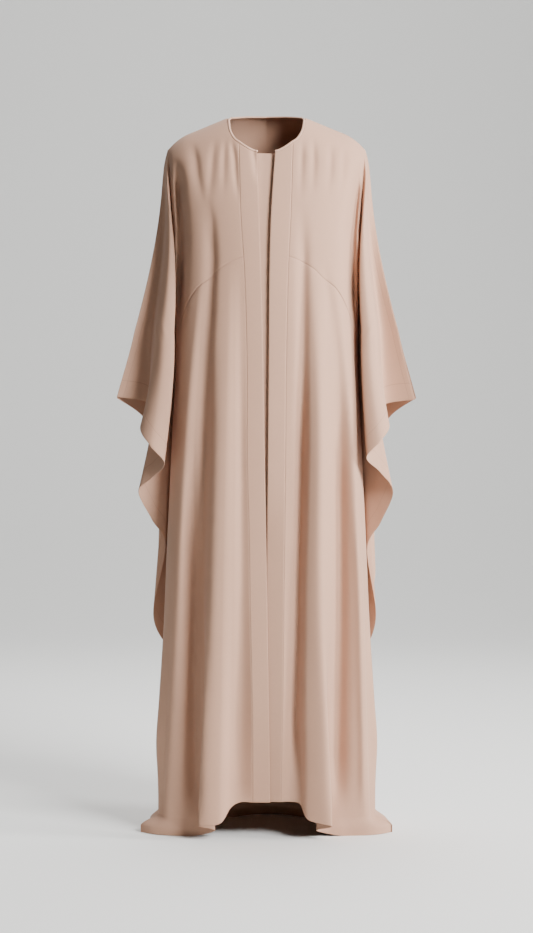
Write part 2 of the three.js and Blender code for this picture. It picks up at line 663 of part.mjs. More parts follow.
// Grid of points for the inner panel, on the rows of the band in front of it
function underlapGrid() {
  const grid = [];
  const hem = RIGHT_SKIRT[0].rise;
  for (let row = 0; row <= BAND_ROWS; row += 1) {
    const line = UNDERLAP_ACROSS.map((place) => {
      let z = mix(BAND_TOP, hem, row / BAND_ROWS);
      if (row === 0) z -= UNDERLAP_NECK_DROP;
      if (row === BAND_ROWS) z += UNDERLAP_HEM_LIFT;
      const x = Math.max(place.x, UNDERLAP_SEAM_GAP - bandSeamOut(RIGHT, z));
      return [x, frontDepth(RIGHT, Math.abs(x), z) + place.behind, z];
    });
    grid.push(line);
  }
  return grid;
}

const minus = (a, b) => [a[0] - b[0], a[1] - b[1], a[2] - b[2]];
const cross = (a, b) => [
  a[1] * b[2] - a[2] * b[1],
  a[2] * b[0] - a[0] * b[2],
  a[0] * b[1] - a[1] * b[0],
];
const unit = (a) => {
  const size = Math.hypot(...a) || 1;
  return [a[0] / size, a[1] / size, a[2] / size];
};

// Direction away from the cloth at each point of a grid
function gridNormals(grid) {
  const lastRow = grid.length - 1;
  const lastColumn = grid[0].length - 1;
  return grid.map((line, r) => line.map((_, c) => {
    const across = minus(line[Math.min(c + 1, lastColumn)], line[Math.max(c - 1, 0)]);
    const down = minus(grid[Math.min(r + 1, lastRow)][c], grid[Math.max(r - 1, 0)][c]);
    return unit(cross(across, down));
  }));
}

// Closed wall of cloth round a grid of points on its middle surface
function clothWall(grid) {
  const normals = gridNormals(grid);
  const rows = grid.length;
  const columns = grid[0].length;
  const positions = [];
  for (const sign of [1, -1]) {
    grid.forEach((line, r) => line.forEach((point, c) => {
      const n = normals[r][c];
      const reach = (sign * WALL) / 2;
      positions.push(point[0] + n[0] * reach, point[1] + n[1] * reach, point[2] + n[2] * reach);
    }));
  }
  const near = (r, c) => r * columns + c;
  const far = (r, c) => rows * columns + r * columns + c;
  const indices = [];
  const quad = (a, b, c, d) => indices.push(a, b, c, a, c, d);
  for (let r = 0; r < rows - 1; r += 1) {
    for (let c = 0; c < columns - 1; c += 1) {
      quad(near(r, c), near(r, c + 1), near(r + 1, c + 1), near(r + 1, c));
      quad(far(r, c), far(r + 1, c), far(r + 1, c + 1), far(r, c + 1));
    }
  }
  for (let c = 0; c < columns - 1; c += 1) {
    quad(near(0, c + 1), near(0, c), far(0, c), far(0, c + 1));
    quad(near(rows - 1, c), near(rows - 1, c + 1), far(rows - 1, c + 1), far(rows - 1, c));
  }
  for (let r = 0; r < rows - 1; r += 1) {
    quad(near(r, 0), near(r + 1, 0), far(r + 1, 0), far(r, 0));
    quad(near(r + 1, columns - 1), near(r, columns - 1), far(r, columns - 1), far(r + 1, columns - 1));
  }
  return { positions, indices };
}

function makeMesh(name, shape, finish) {
  const geometry = new THREE.BufferGeometry();
  geometry.setAttribute('position', new THREE.Float32BufferAttribute(shape.positions, 3));
  geometry.setIndex(shape.indices);
  geometry.computeVertexNormals();
  const mesh = new THREE.Mesh(geometry, new THREE.MeshStandardMaterial(finish));
  mesh.name = name;
  return mesh;
}

// Solid walls need the same turning sense on both sides of the body
function sideWall(grid, side) {
  const ordered = side === LEFT ? grid : grid.map((line) => [...line].reverse());
  return clothWall(ordered);
}

// Points of the neck edge from the right band round the back to the left band
function neckEdge(grids) {
  const neckColumns = Math.floor(NECK_SHARE_FRONT * FRONT_COLUMNS);
  const half = (side) => {
    const points = [...grids[side].band[0]].reverse();
    return [...points, ...grids[side].yoke[0].slice(1, neckColumns + 1)];
  };
  const middle = BACK_COLUMNS / 2;
  const reach = Math.floor(NECK_SHARE_BACK * middle) - 1;
  const behind = grids.back[0].slice(middle - reach, middle + reach + 1);
  return [...half(RIGHT), ...behind, ...half(LEFT).reverse()];
}

// Middle line of the neck binding, moved off the neck edge into the opening
function bindingLine(grids) {
  const edge = neckEdge(grids);
  const reach = BINDING_RADIUS + BINDING_GAP;
  return edge.map((point, i) => {
    const before = edge[Math.max(i - 1, 0)];
    const after = edge[Math.min(i + 1, edge.length - 1)];
    const tangent = unit(minus(after, before));
    const inward = minus(NECK_CENTRE, point);
    const slip = inward[0] * tangent[0] + inward[1] * tangent[1] + inward[2] * tangent[2];
    const away = unit(inward.map((value, k) => value - tangent[k] * slip));
    return point.map((value, k) => value + away[k] * reach);
  });
}

// Round roll of cloth along a line of points, closed at both ends
function roll(line, radius, sides) {
  const positions = [];
  const indices = [];
  const last = line.length - 1;
  line.forEach((point, i) => {
    const ahead = unit(minus(line[Math.min(i + 1, last)], line[Math.max(i - 1, 0)]));
    const sideways = unit(cross(ahead, [0, 0, 1]));
    const upward = cross(sideways, ahead);
    for (let s = 0; s < sides; s += 1) {
      const turn = (2 * Math.PI * s) / sides;
      const u = Math.cos(turn) * radius;
      const v = Math.sin(turn) * radius;
      positions.push(...point.map((value, k) => value + sideways[k] * u + upward[k] * v));
    }
  });
  for (let i = 0; i < last; i += 1) {
    for (let s = 0; s < sides; s += 1) {
      const a = i * sides + s;
      const b = i * sides + ((s + 1) % sides);
      indices.push(a, b + sides, b, a, a + sides, b + sides);
    }
  }
  for (let s = 1; s < sides - 1; s += 1) {
    indices.push(0, s, s + 1);
    const end = last * sides;
    indices.push(end, end + s + 1, end + s);
  }
  return { positions, indices };
}

function buildAbaya() {
  const group = new THREE.Group();
  group.name = 'abaya';
  const grids = { back: backGrid() };
  for (const side of [RIGHT, LEFT]) {
    grids[side] = {
      yoke: yokeGrid(side),
      panel: panelGrid(side),
      band: bandGrid(side),
      sleeveFront: sleeveGrid(side, false, side === RIGHT ? RIGHT_SLEEVE_FRONT : LEFT_SLEEVE_FRONT),
      sleeveBack: sleeveGrid(side, true, SLEEVE_BACK),
    };
  }
  group.add(makeMesh('back_panel', clothWall(grids.back), CLOTH));
  for (const side of [RIGHT, LEFT]) {
    const word = side === RIGHT ? 'right' : 'left';
    const own = grids[side];
    group.add(makeMesh(`front_yoke_${word}`, sideWall(own.yoke, side), CLOTH));
    group.add(makeMesh(`front_panel_${word}`, sideWall(own.panel, side), CLOTH));
    group.add(makeMesh(`front_band_${word}`, sideWall(own.band, -side), CLOTH));
    group.add(makeMesh(`sleeve_front_${word}`, sideWall(own.sleeveFront, -side), CLOTH));
    group.add(makeMesh(`sleeve_back_${word}`, sideWall(own.sleeveBack, side), CLOTH));
  }
  group.add(makeMesh('inner_panel', clothWall(underlapGrid()), CLOTH));
  const binding = roll(bindingLine(grids), BINDING_RADIUS, BINDING_SIDES);
  group.add(makeMesh('neck_binding', binding, BINDING_CLOTH));
  for (const mesh of group.children) mesh.geometry.translate(0, 0, -SHOULDER_HEIGHT);
  return group;
}

export default buildAbaya();
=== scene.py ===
import math
from collections import namedtuple

import bmesh
import bpy
from bpy.props import FloatProperty, FloatVectorProperty, PointerProperty
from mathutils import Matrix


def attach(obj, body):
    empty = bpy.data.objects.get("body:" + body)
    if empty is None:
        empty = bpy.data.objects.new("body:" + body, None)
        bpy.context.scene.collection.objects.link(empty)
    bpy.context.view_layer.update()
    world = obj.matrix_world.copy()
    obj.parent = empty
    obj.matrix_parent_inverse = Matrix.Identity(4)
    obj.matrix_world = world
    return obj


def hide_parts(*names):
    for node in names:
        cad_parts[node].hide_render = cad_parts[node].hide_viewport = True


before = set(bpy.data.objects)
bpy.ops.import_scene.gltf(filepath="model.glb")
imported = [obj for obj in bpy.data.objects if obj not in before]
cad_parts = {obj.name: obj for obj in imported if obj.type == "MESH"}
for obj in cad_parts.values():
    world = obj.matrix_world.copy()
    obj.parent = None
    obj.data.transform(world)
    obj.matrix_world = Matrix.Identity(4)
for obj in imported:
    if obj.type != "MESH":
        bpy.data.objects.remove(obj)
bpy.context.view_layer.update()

bl_info = {
    "name": "Open-front abaya",
    "version": (1, 0, 0),
    "blender": (4, 5, 0),
    "location": "3D View > Sidebar > Abaya",
    "description": "Builds the cloth of a blush crepe abaya over its packed solids, and a plain studio",
    "category": "Add Mesh",
}

# Sizes in the tables are millimetres, and heights are above the floor
MM = 0.001
SHOULDER_HEIGHT = 1495
SEAM_GAP = 0.12
SIDE_SEAM_GAP = 0.3
BAND_GAP = 0.12
SHOULDER_GAP = 0.12
OVERARM_GAP = 0.5
ARMHOLE_GAP = 0.3
UNDERARM_LIFT = 2.0
SECTION_POWER = 2.3
SHOULDER_ROUNDING = 90
SIDE_SEAM_ANGLE = 100
NECK_HALF_WIDTH = 81.5
SHOULDER_POINT = 205
SHOULDER_POINT_HEIGHT = 1430
UNDERARM_HEIGHT = 1235
YOKE_SIDE_HEIGHT = 1040
ELBOW_HEIGHT = 1050
HIP_HEIGHT = 850
KNEE_HEIGHT = 450
FLOOR_CLEARANCE = 0.1
POOL_HEIGHT = 39
POOL_SPREAD_END = 0.65
SLEEVE_SAG = 8
SLEEVE_CAP = 4
CAP_POWER = 6
SLEEVE_FLARE = 1.6
BACK_CLIMB = 1.5
GROOVE_DEPTH = 13
GROOVE_TOP = 1370
GROOVE_FOOT = 1262
TUCK_DEPTH = 28
TUCK_CLEARANCE = 1.6
BINDING_RADIUS = 2.5
BINDING_GAP = 0.4
NECK_CENTRE = (0, -10, 1520)
UNDERLAP_NECK_DROP = 2
UNDERLAP_HEM_LIFT = 12
BAND_TOP = 1413
NECK_SHARE_FRONT = 0.26
NECK_SHARE_BACK = 0.36
ROW_CROWDING = 1.6
YOKE_ROWS = 9
SKIRT_ROWS = 12
POOL_ROWS = 4

# Shares of a piece's width at which its creases and folds fade out to its edge
YOKE_EDGE_FADE = 0.93
GROOVE_FADE = 0.94
PANEL_EDGE_FADE = 0.95
BACK_FOLD_FADE = 0.92
BACK_CREASE_FADE = (0.97, 0.8)

# Share of the back's half width past which a place is on the side seam
SEAM_SHARE = 0.9999

# Reach of a crease, in its half widths
CREASE_REACH = 3

# Weight of depth against width in the direction that the hem spreads
SPREAD_FORWARD = 2

# Power of the curve of a band's top
BAND_LIFT_POWER = 1.5

# Shares of a sleeve's width, from overarm to underarm, at which its parts begin and end
OVERARM_PART = 0.2
UNDERARM_PART = 0.8
CURL_END = 0.93
LIFT_PART = (0.55, 0.85)

# Heights between which the underarm's tuck fades out
TUCK_HEIGHTS = (700, 850)

# Share of a sleeve's length over which the armhole's groove fades
GROOVE_SHARE = 0.035

UNDERLAP_SEAM = 3
BINDING_FLATNESS = 0.8
BINDING_STEP = 0.3
BAND_NECK_STEPS = 6
YOKE_NECK_STEPS = 12
BACK_NECK_STEPS = 20

# Columns and rows of each piece's grid
BACK_GRID = (190, 180)
YOKE_GRID = (110, 80)
PANEL_GRID = (126, 140)
BAND_GRID = (14, 260)
INNER_GRID = (20, 200)
SLEEVE_FRONT_GRID = (120, 110)
SLEEVE_BACK_GRID = (105, 110)
BINDING_GRID = (240, 12)

RIGHT = -1
LEFT = 1

Section = namedtuple("Section", "z half front back")
BODY = [
    Section(0, 229, 88, 142),
    Section(40, 229, 88, 142),
    Section(76, 229, 88, 141),
    Section(115, 230, 92, 140),
    Section(190, 233, 100, 138),
    Section(277, 227, 108, 136),
    Section(445, 216, 114, 132),
    Section(603, 209, 114, 129),
    Section(750, 202, 113, 127),
    Section(850, 197, 113, 124),
    Section(950, 191, 114, 116),
    Section(1040, 190, 116, 104),
    Section(1150, 193, 119, 98),
    Section(1235, 197, 120, 103),
    Section(1300, 203, 117, 109),
    Section(1350, 207, 107, 110),
    Section(1400, 210, 93, 103),
    Section(1435, 212, 84, 95),
    Section(1510, 216, 70, 84),
]

Place = namedtuple("Place", "out z")
SHOULDER = [Place(0, 1520), Place(40, 1511), Place(81.5, 1495), Place(140, 1471),
            Place(171, 1458), Place(192, 1443), Place(205, 1430)]
BACK_NECK = [Place(0, 1503.5), Place(40, 1502), Place(63, 1499), Place(81.5, 1495)]
YOKE_SEAM = [Place(30, 1200), Place(46, 1198), Place(72, 1188), Place(97, 1173), Place(116, 1155),
             Place(141, 1136), Place(159, 1110), Place(171, 1082), Place(187.6, 1040)]
FRONT_ARMHOLE = [Place(194.4, 1235), Place(199.5, 1340), Place(205, 1430)]

NeckStop = namedtuple("NeckStop", "share out z")
FRONT_NECK = [NeckStop(-0.9, 20, 1413), NeckStop(0.0, 57, 1433), NeckStop(0.35, 69.5, 1444),
              NeckStop(0.7, 79, 1466), NeckStop(1.0, 81.5, 1495)]

Turn = namedtuple("Turn", "z angle")
BACK_ARMHOLE = [Turn(1235, 100), Turn(1246, 88), Turn(1264, 76), Turn(1292, 66),
                Turn(1330, 61), Turn(1370, 62), Turn(1405, 67), Turn(1430, 75.3)]

BandLine = namedtuple("BandLine", "z right_seam right_edge left_seam left_edge")
BAND_LINES = [
    BandLine(50, 29, 8, 29, -7),
    BandLine(113, 29.5, 7.2, 30, -5.5),
    BandLine(279, 30, 4.8, 33.5, -2.5),
    BandLine(445, 33.5, 2.3, 35, -1),
    BandLine(617, 36, -0.6, 37, 1.2),
    BandLine(783, 40, -3.5, 38.5, 3),
    BandLine(1000, 40.5, -7, 40.5, 4.8),
    BandLine(1164, 45, -11, 44, 6),
    BandLine(1288, 53, -15, 49.5, 9.5),
    BandLine(1433, 57, -20.5, 54, 19),
]
LAP_SINK = 4.6
LAP_START = 760
LAP_FULL = 620

# Fold lines of the skirt, from the band out: out at the yoke, out and depth at
# hip, knee and hem, the hem's height, and its spread over the floor
Fold = namedtuple("Fold", "yoke hip_out hip knee_out knee hem_out hem rise toe")
SKIRT = {
    RIGHT: [
        Fold(54, 52, -110, 50, -108, 54, -86, 76, 0),
        Fold(66, 66, -115, 69, -115, 74, -94, 66, 0),
        Fold(78, 84, -118, 92, -122, 96, -117, 38, 0),
        Fold(98, 108, -111, 120, -115, 139, -113, 33, 0),
        Fold(112, 126, -91, 131, -77, 107, -72, 14, 0),
        Fold(126, 145, -84, 153, -66, 152, -59, FLOOR_CLEARANCE, 3),
        Fold(142, 165, -83, 183, -68, 203, -50, 0.5, 9),
        Fold(166, 184, -56, 202, -46, 218, -33, 0.5, 25),
    ],
    LEFT: [
        Fold(58, 56, -109, 49, -106, 50, -85, 77, 0),
        Fold(73, 73, -104, 64, -104, 70, -89, 72, 0),
        Fold(88, 92, -114, 84, -117, 86, -108, 44, 0),
        Fold(104, 112, -117, 114, -122, 134, -115, 32, 0),
        Fold(122, 134, -96, 136, -84, 104, -72, 14, 0),
        Fold(135, 153, -82, 158, -65, 156, -57, FLOOR_CLEARANCE, 3),
        Fold(150, 176, -78, 194, -62, 206, -49, 0.5, 9),
        Fold(170, 188, -52, 205, -42, 218, -33, 0.5, 25),
    ],
}
SIDE_TOE = 38

BackFold = namedtuple("BackFold", "angle width hip hem")
BACK_FOLDS = [
    BackFold(-84, 7, -3, -9),
    BackFold(-68, 8, 2, 11),
    BackFold(-51, 8, -6, -18),
    BackFold(-34, 8, 5, 16),
    BackFold(-17, 8, -7, -20),
    BackFold(1, 9, 5, 13),
    BackFold(20, 9, -6, -17),
    BackFold(39, 9, 6, 18),
    BackFold(57, 7, -5, -15),
    BackFold(74, 8, 1, 8),
]
BACK_FOLD_TOP = 1180

Toe = namedtuple("Toe", "angle toe")
BACK_TOES = [Toe(0, 9), Toe(50, 12), Toe(75, 24), Toe(100, 38)]

# Fold lines of the sleeves, from the overarm seam to the underarm seam: share
# of the armhole, out and depth at the elbow and at the hem, and the hem's height
Hang = namedtuple("Hang", "share mid_out mid hem_out hem hem_z")
SLEEVE_FRONT = {
    RIGHT: [
        Hang(0.0, 277, -1, 314, 0, 914),
        Hang(0.1, 243, 2, 248, 4, 899),
        Hang(0.22, 229, -46, 261, -62, 849),
        Hang(0.36, 212, -66, 238, -93, 812),
        Hang(0.5, 191, -60, 210, -84, 776),
        Hang(0.6, 206, -44, 238, -54, 745),
        Hang(0.7, 218, -32, 267, -30, 716),
        Hang(0.78, 209, -18, 241, -1, 656),
        Hang(0.86, 198, -2, 214, 22, 597),
        Hang(0.93, 207, 9, 241, 44, 452),
        Hang(1.0, 194.5, 13, 214, 70, 381),
    ],
    LEFT: [
        Hang(0.0, 276, -1, 312, 0, 908),
        Hang(0.1, 240, 5, 246, 7, 896),
        Hang(0.22, 231, -46, 254, -62, 853),
        Hang(0.36, 214, -66, 234, -92, 822),
        Hang(0.5, 196, -60, 206, -84, 788),
        Hang(0.6, 208, -44, 236, -54, 757),
        Hang(0.7, 218, -32, 264, -30, 715),
        Hang(0.78, 209, -18, 240, -1, 650),
        Hang(0.86, 198, -2, 213, 22, 590),
        Hang(0.93, 207, 9, 233, 44, 449),
        Hang(1.0, 194.5, 13, 214, 70, 376),
    ],
}
SLEEVE_BACK = [
    Hang(0.0, 277, 0, 314, 0, 911),
    Hang(0.14, 252, 28, 263, 58, 872),
    Hang(0.28, 229, 52, 238, 98, 812),
    Hang(0.42, 235, 70, 255, 106, 742),
    Hang(0.56, 213, 78, 214, 116, 650),
    Hang(0.7, 220, 80, 236, 124, 545),
    Hang(0.85, 208, 62, 221, 108, 450),
    Hang(1.0, 194.5, 13, 214, 70, 379),
]

Across = namedtuple("Across", "x behind")
UNDERLAP = [Across(-40, 3.7), Across(-22, 4.5), Across(-4, 7.2), Across(14, 9.2), Across(30, 9.8)]

# Soft creases: half widths on the side towards the middle and on the other, depth
# (a ridge's is negative), the shares of length over which they fade in and out,
# and the places they pass, from the top down
Crease = namedtuple("Crease", "inner outer depth fade_in fade_out path")
FRONT_CREASES = {
    RIGHT: [
        Crease(11, 12, 29, 0.2, 0.3, [Place(188, 1412), Place(181, 1335), Place(175, 1268), Place(174, 1230),
                                      Place(177, 1175), Place(180, 1113), Place(183, 1040)]),
        Crease(5, 6, -3.0, 0.3, 0.5, [Place(193, 1412), Place(190, 1335), Place(187, 1240)]),
        Crease(8, 12, 5.0, 0.3, 0.65, [Place(152, 1446), Place(143, 1385), Place(128, 1290)]),
        Crease(8, 8, 3.6, 0.3, 0.65, [Place(105, 1452), Place(111, 1388), Place(119, 1285)]),
        Crease(6, 7, 2.4, 0.3, 0.6, [Place(84, 1452), Place(86, 1398), Place(88, 1310)]),
        Crease(5, 6, 3.6, 0.25, 0.6, [Place(71, 1446), Place(64, 1390), Place(57, 1300)]),
        Crease(9, 17, 9.0, 0.3, 0.6, [Place(124, 1340), Place(112, 1267), Place(109, 1195), Place(113, 1113),
                                      Place(121, 980), Place(125, 850)]),
        Crease(13, 14, 15, 0.3, 0.4, [Place(120, 1060), Place(123, 850), Place(132, 500), Place(134, 250)]),
        Crease(11, 18, 19, 0.4, 0.1, [Place(151, 860), Place(151, 600), Place(150, 450), Place(147, 30)]),
    ],
    LEFT: [
        Crease(16, 9, 29, 0.2, 0.3, [Place(198, 1408), Place(192, 1345), Place(183, 1284), Place(178, 1238),
                                     Place(178, 1191), Place(181, 1130), Place(184, 1083), Place(187, 1035)]),
        Crease(7, 7, 2.6, 0.3, 0.65, [Place(74, 1450), Place(72, 1390), Place(69, 1300)]),
        Crease(7, 7, 3.0, 0.3, 0.65, [Place(97, 1452), Place(97, 1395), Place(94, 1310)]),
        Crease(8, 8, 3.2, 0.3, 0.65, [Place(134, 1444), Place(132, 1395), Place(125, 1310)]),
        Crease(7, 8, 2.6, 0.3, 0.65, [Place(161, 1436), Place(158, 1385), Place(154, 1310)]),
        Crease(12, 11, 7.0, 0.3, 0.6, [Place(70, 1320), Place(75, 1240), Place(76, 1150), Place(76, 1050),
                                       Place(75, 900), Place(72, 760)]),
        Crease(10, 10, 3.5, 0.4, 0.6, [Place(118, 1200), Place(129, 1100), Place(137, 980)]),
        Crease(9, 11, 17, 0.25, 0.15, [Place(74, 1010), Place(72, 850), Place(65, 450), Place(60, 265),
                                      Place(66, 90)]),
        Crease(13, 18, 21, 0.3, 0.15, [Place(140, 980), Place(145, 800), Place(148, 450), Place(146, 30)]),
        Crease(9, 9, -5, 0.3, 0.15, [Place(182, 760), Place(195, 450), Place(202, 150), Place(202, 30)]),
    ],
}
BAND_CREASES = {
    RIGHT: [Crease(7, 7, 3.6, 0.15, 0.6, [Place(27, 1425), Place(21, 1385), Place(14, 1335)])],
    LEFT: [],
}
BACK_CREASES = {
    RIGHT: [
        Crease(8, 12, 9.0, 0.25, 0.4, [Place(170, 1400), Place(160, 1330), Place(152, 1250),
                                       Place(160, 1120)]),
        Crease(7, 7, 4.0, 0.25, 0.4, [Place(128, 1428), Place(122, 1370), Place(112, 1310)]),
        Crease(6, 6, 2.6, 0.3, 0.5, [Place(96, 1445), Place(92, 1380), Place(84, 1310)]),
        Crease(10, 14, 5.0, 0.4, 0.5, [Place(46, 1380), Place(52, 1240), Place(50, 1080)]),
    ],
    LEFT: [
        Crease(8, 12, 8.0, 0.25, 0.4, [Place(176, 1396), Place(164, 1320), Place(158, 1240),
                                       Place(163, 1110)]),
        Crease(7, 7, 3.4, 0.25, 0.4, [Place(136, 1426), Place(128, 1360), Place(121, 1300)]),
        Crease(6, 6, 2.2, 0.3, 0.5, [Place(90, 1446), Place(94, 1390), Place(98, 1330)]),
        Crease(11, 13, 4.4, 0.4, 0.5, [Place(30, 1350), Place(27, 1220), Place(34, 1060)]),
    ],
}


def clamp(value, low, high):
    return min(max(value, low), high)


def mix(start, end, share):
    return start + (end - start) * share


def ease(start, end, value):
    share = clamp((value - start) / (end - start), 0.0, 1.0)
    return share * share * (3 - 2 * share)


def read(rows, key, column, at):
    """Value of a column at a place along a key column, smooth through the rows."""
    k, c = rows[0]._fields.index(key), rows[0]._fields.index(column)
    last = len(rows) - 1
    if at <= rows[0][k]:
        return rows[0][c]
    if at >= rows[last][k]:
        return rows[last][c]
    i = 0
    while rows[i + 1][k] < at:
        i += 1

    def slope(n):
        low, high = max(n - 1, 0), min(n + 1, last)
        return (rows[high][c] - rows[low][c]) / (rows[high][k] - rows[low][k])

    span = rows[i + 1][k] - rows[i][k]
    t = (at - rows[i][k]) / span
    pull, push = slope(i) * span, slope(i + 1) * span
    rise = rows[i + 1][c] - rows[i][c]
    return rows[i][c] + pull * t + (3 * rise - 2 * pull - push) * t * t + (pull + push - 2 * rise) * t ** 3


def along(points, t):
    """Point on a smooth line through a list of points, one unit of t a point."""
    last = len(points) - 1
    i = int(clamp(math.floor(t), 0, last - 1))
    f = t - i
    a, b, c, d = (points[int(clamp(n, 0, last))] for n in (i - 1, i, i + 1, i + 2))
    out = []
    for k in range(len(b)):
        p, q, rise = (c[k] - a[k]) / 2, (d[k] - b[k]) / 2, c[k] - b[k]
        out.append(b[k] + p * f + (3 * rise - 2 * p - q) * f * f + (p + q - 2 * rise) * f ** 3)
    return out


def crease_depth(creases, out, z):
    """How far the creases sink the cloth at a place."""
    depth = 0.0
    for crease in creases:
        path = crease.path
        top, foot = path[0].z, path[-1].z
        if not foot < z < top:
            continue
        i = 0
        while path[i + 1].z > z:
            i += 1
        span = ease(path[i].z, path[i + 1].z, z)
        straight = (path[i].z - z) / (path[i].z - path[i + 1].z)
        centre = mix(path[i].out, path[i + 1].out, (span + straight) / 2)
        away = out - centre
        away /= crease.outer if away > 0 else crease.inner
        if abs(away) > CREASE_REACH:
            continue
        t = (top - z) / (top - foot)
        fade = ease(0, crease.fade_in, t) * ease(1, 1 - crease.fade_out, t)
        depth += crease.depth * math.exp(-away * away) * fade
    return depth


def section_share(out, half):
    across = clamp(abs(out) / half, 0, 1)
    return (1 - across ** SECTION_POWER) ** (1 / SECTION_POWER)


def shoulder_share(out, z):
    drop = (read(SHOULDER, "out", "z", abs(out)) - z) / SHOULDER_ROUNDING
    t = clamp(drop, 0, 1)
    return math.sqrt(1 - (1 - t) * (1 - t))


def smooth_front(out, z):
    full = read(BODY, "z", "front", z)
    half = read(BODY, "z", "half", z)
    return -full * section_share(out, half) * shoulder_share(out, z)


def front_depth(side, out, z):
    return smooth_front(out, z) + crease_depth(FRONT_CREASES[side], out, z)


def round_body(angle, z, lift):
    """Point round the body at an angle from the middle of the back."""
    half = read(BODY, "z", "half", z)
    turn = math.radians(abs(angle))
    sign = math.copysign(1, angle)
    out = half * math.sin(turn) ** (2 / SECTION_POWER)
    behind = abs(angle) <= 90
    full = read(BODY, "z", "back" if behind else "front", z)
    depth = full * abs(math.cos(turn)) ** (2 / SECTION_POWER) * shoulder_share(out, z)
    y = depth if behind else -depth
    return [sign * (out + math.sin(turn) * lift), y + math.cos(turn) * lift, z]


def side_seam(side, z):
    return round_body(side * SIDE_SEAM_ANGLE, z, 0)


def band_seam_out(side, z):
    return read(BAND_LINES, "z", "right_seam" if side == RIGHT else "left_seam", z)


def yoke_top(side, share):
    if share < NECK_SHARE_FRONT:
        t = share / NECK_SHARE_FRONT
        shift = (band_seam_out(side, SHOULDER_POINT_HEIGHT) - FRONT_NECK[1].out) * (1 - t)
        return read(FRONT_NECK, "share", "out", t) + shift, read(FRONT_NECK, "share", "z", t)
    t = (share - NECK_SHARE_FRONT) / (1 - NECK_SHARE_FRONT)
    out = mix(NECK_HALF_WIDTH, SHOULDER_POINT, t)
    return out, read(SHOULDER, "out", "z", out)


def yoke_seam_out(side, share):
    seam = band_seam_out(side, YOKE_SEAM[1].z)
    end = side_seam(side, YOKE_SIDE_HEIGHT)[0] * side
    stops = [(seam,)] + [(fold.yoke,) for fold in SKIRT[side]] + [(end,)]
    return along(stops, share * (len(stops) - 1))[0]


def front_edge_out(side, z):
    if z < UNDERARM_HEIGHT:
        return side_seam(side, z)[0] * side
    return read(FRONT_ARMHOLE, "z", "out", z)


def yoke_point(side):
    """Place on a yoke: u from the band to the side, v from the neck to the seam."""
    inner_top, outer_top = yoke_top(side, 0), yoke_top(side, 1)
    inner_foot, outer_foot = yoke_seam_out(side, 0), yoke_seam_out(side, 1)

    def point(u, v):
        top_out, top_z = yoke_top(side, u)
        foot = yoke_seam_out(side, u)
        foot_z = read(YOKE_SEAM, "out", "z", foot) + SEAM_GAP / 2
        z = mix(top_z, foot_z, v ** ROW_CROWDING)
        down = (top_z - z) / (top_z - foot_z)
        inner = band_seam_out(side, min(z, inner_top[1])) - mix(inner_top[0], inner_foot, down)
        outer = front_edge_out(side, min(z, outer_top[1])) - mix(outer_top[0], outer_foot, down)
        out = mix(top_out, foot, down) + inner * (1 - u) ** 3 + outer * u ** 3
        y = front_depth(side, out, z) - crease_depth(FRONT_CREASES[side], out, z) * ease(YOKE_EDGE_FADE, 1, u)
        y += armhole_groove(z) * ease(GROOVE_FADE, 1, u)
        if v == 0 and u > NECK_SHARE_FRONT:
            y -= SHOULDER_GAP / 2
        if u == 0:
            out += BAND_GAP / 2
        if u == 1 and z < UNDERARM_HEIGHT:
            y -= SIDE_SEAM_GAP / 2
        return side * out, y, z

    return point


Level = namedtuple("Level", "z out y")


def pool(row, rise, toe):
    w = row / POOL_ROWS
    return rise + POOL_HEIGHT * (1 - w), toe * ease(0, POOL_SPREAD_END, w)


def panel_point(side):
    """Place on a front panel: u from the band to the side, v from the yoke to the hem."""
    folds = SKIRT[side]
    count = len(folds) + 1
    found = {}

    def station(k, row):
        fold = folds[k - 1] if 0 < k < count else None
        yoke_out = yoke_seam_out(side, k / count)
        top_z = read(YOKE_SEAM, "out", "z", yoke_out) - SEAM_GAP / 2
        rise = folds[0].rise if k == 0 else fold.rise if fold else FLOOR_CLEARANCE
        toe = 0 if k == 0 else fold.toe if fold else SIDE_TOE
        low = rise + POOL_HEIGHT
        pool_z, spread = pool(max(row - SKIRT_ROWS, 0), rise, toe)
        z = mix(top_z, low, row / SKIRT_ROWS) if row <= SKIRT_ROWS else pool_z
        if k == 0:
            out = band_seam_out(side, z) + BAND_GAP / 2
            return out, smooth_front(out, z), z
        if k == count:
            seam = side_seam(side, z)
            return seam[0] * side + spread, seam[1] - SIDE_SEAM_GAP / 2, z
        levels = [
            Level(low, fold.hem_out, fold.hem),
            Level(KNEE_HEIGHT, fold.knee_out, fold.knee),
            Level(HIP_HEIGHT, fold.hip_out, fold.hip),
            Level(top_z, yoke_out, smooth_front(yoke_out, top_z)),
        ]
        out = read(levels, "z", "out", z)
        y = read(levels, "z", "y", z)
        turn = math.atan2(out, -y * SPREAD_FORWARD)
        return out + math.sin(turn) * spread, y - math.cos(turn) * spread, z

    def point(u, v):
        row = v * (SKIRT_ROWS + POOL_ROWS)
        if row == 0:
            out = yoke_seam_out(side, u)
            z = read(YOKE_SEAM, "out", "z", out) - SEAM_GAP / 2
            y = smooth_front(out, z) + crease_depth(FRONT_CREASES[side], out, z) * ease(1, YOKE_EDGE_FADE, u)
            y -= SIDE_SEAM_GAP / 2 if u == 1 else 0
            return side * (out + (BAND_GAP / 2 if u == 0 else 0)), y, z
        if v not in found:
            found[v] = [station(k, row) for k in range(count + 1)]
        out, y, z = along(found[v], u * count)
        y += crease_depth(FRONT_CREASES[side], out, z) * ease(1, PANEL_EDGE_FADE, u)
        return side * out, y, z

    return point


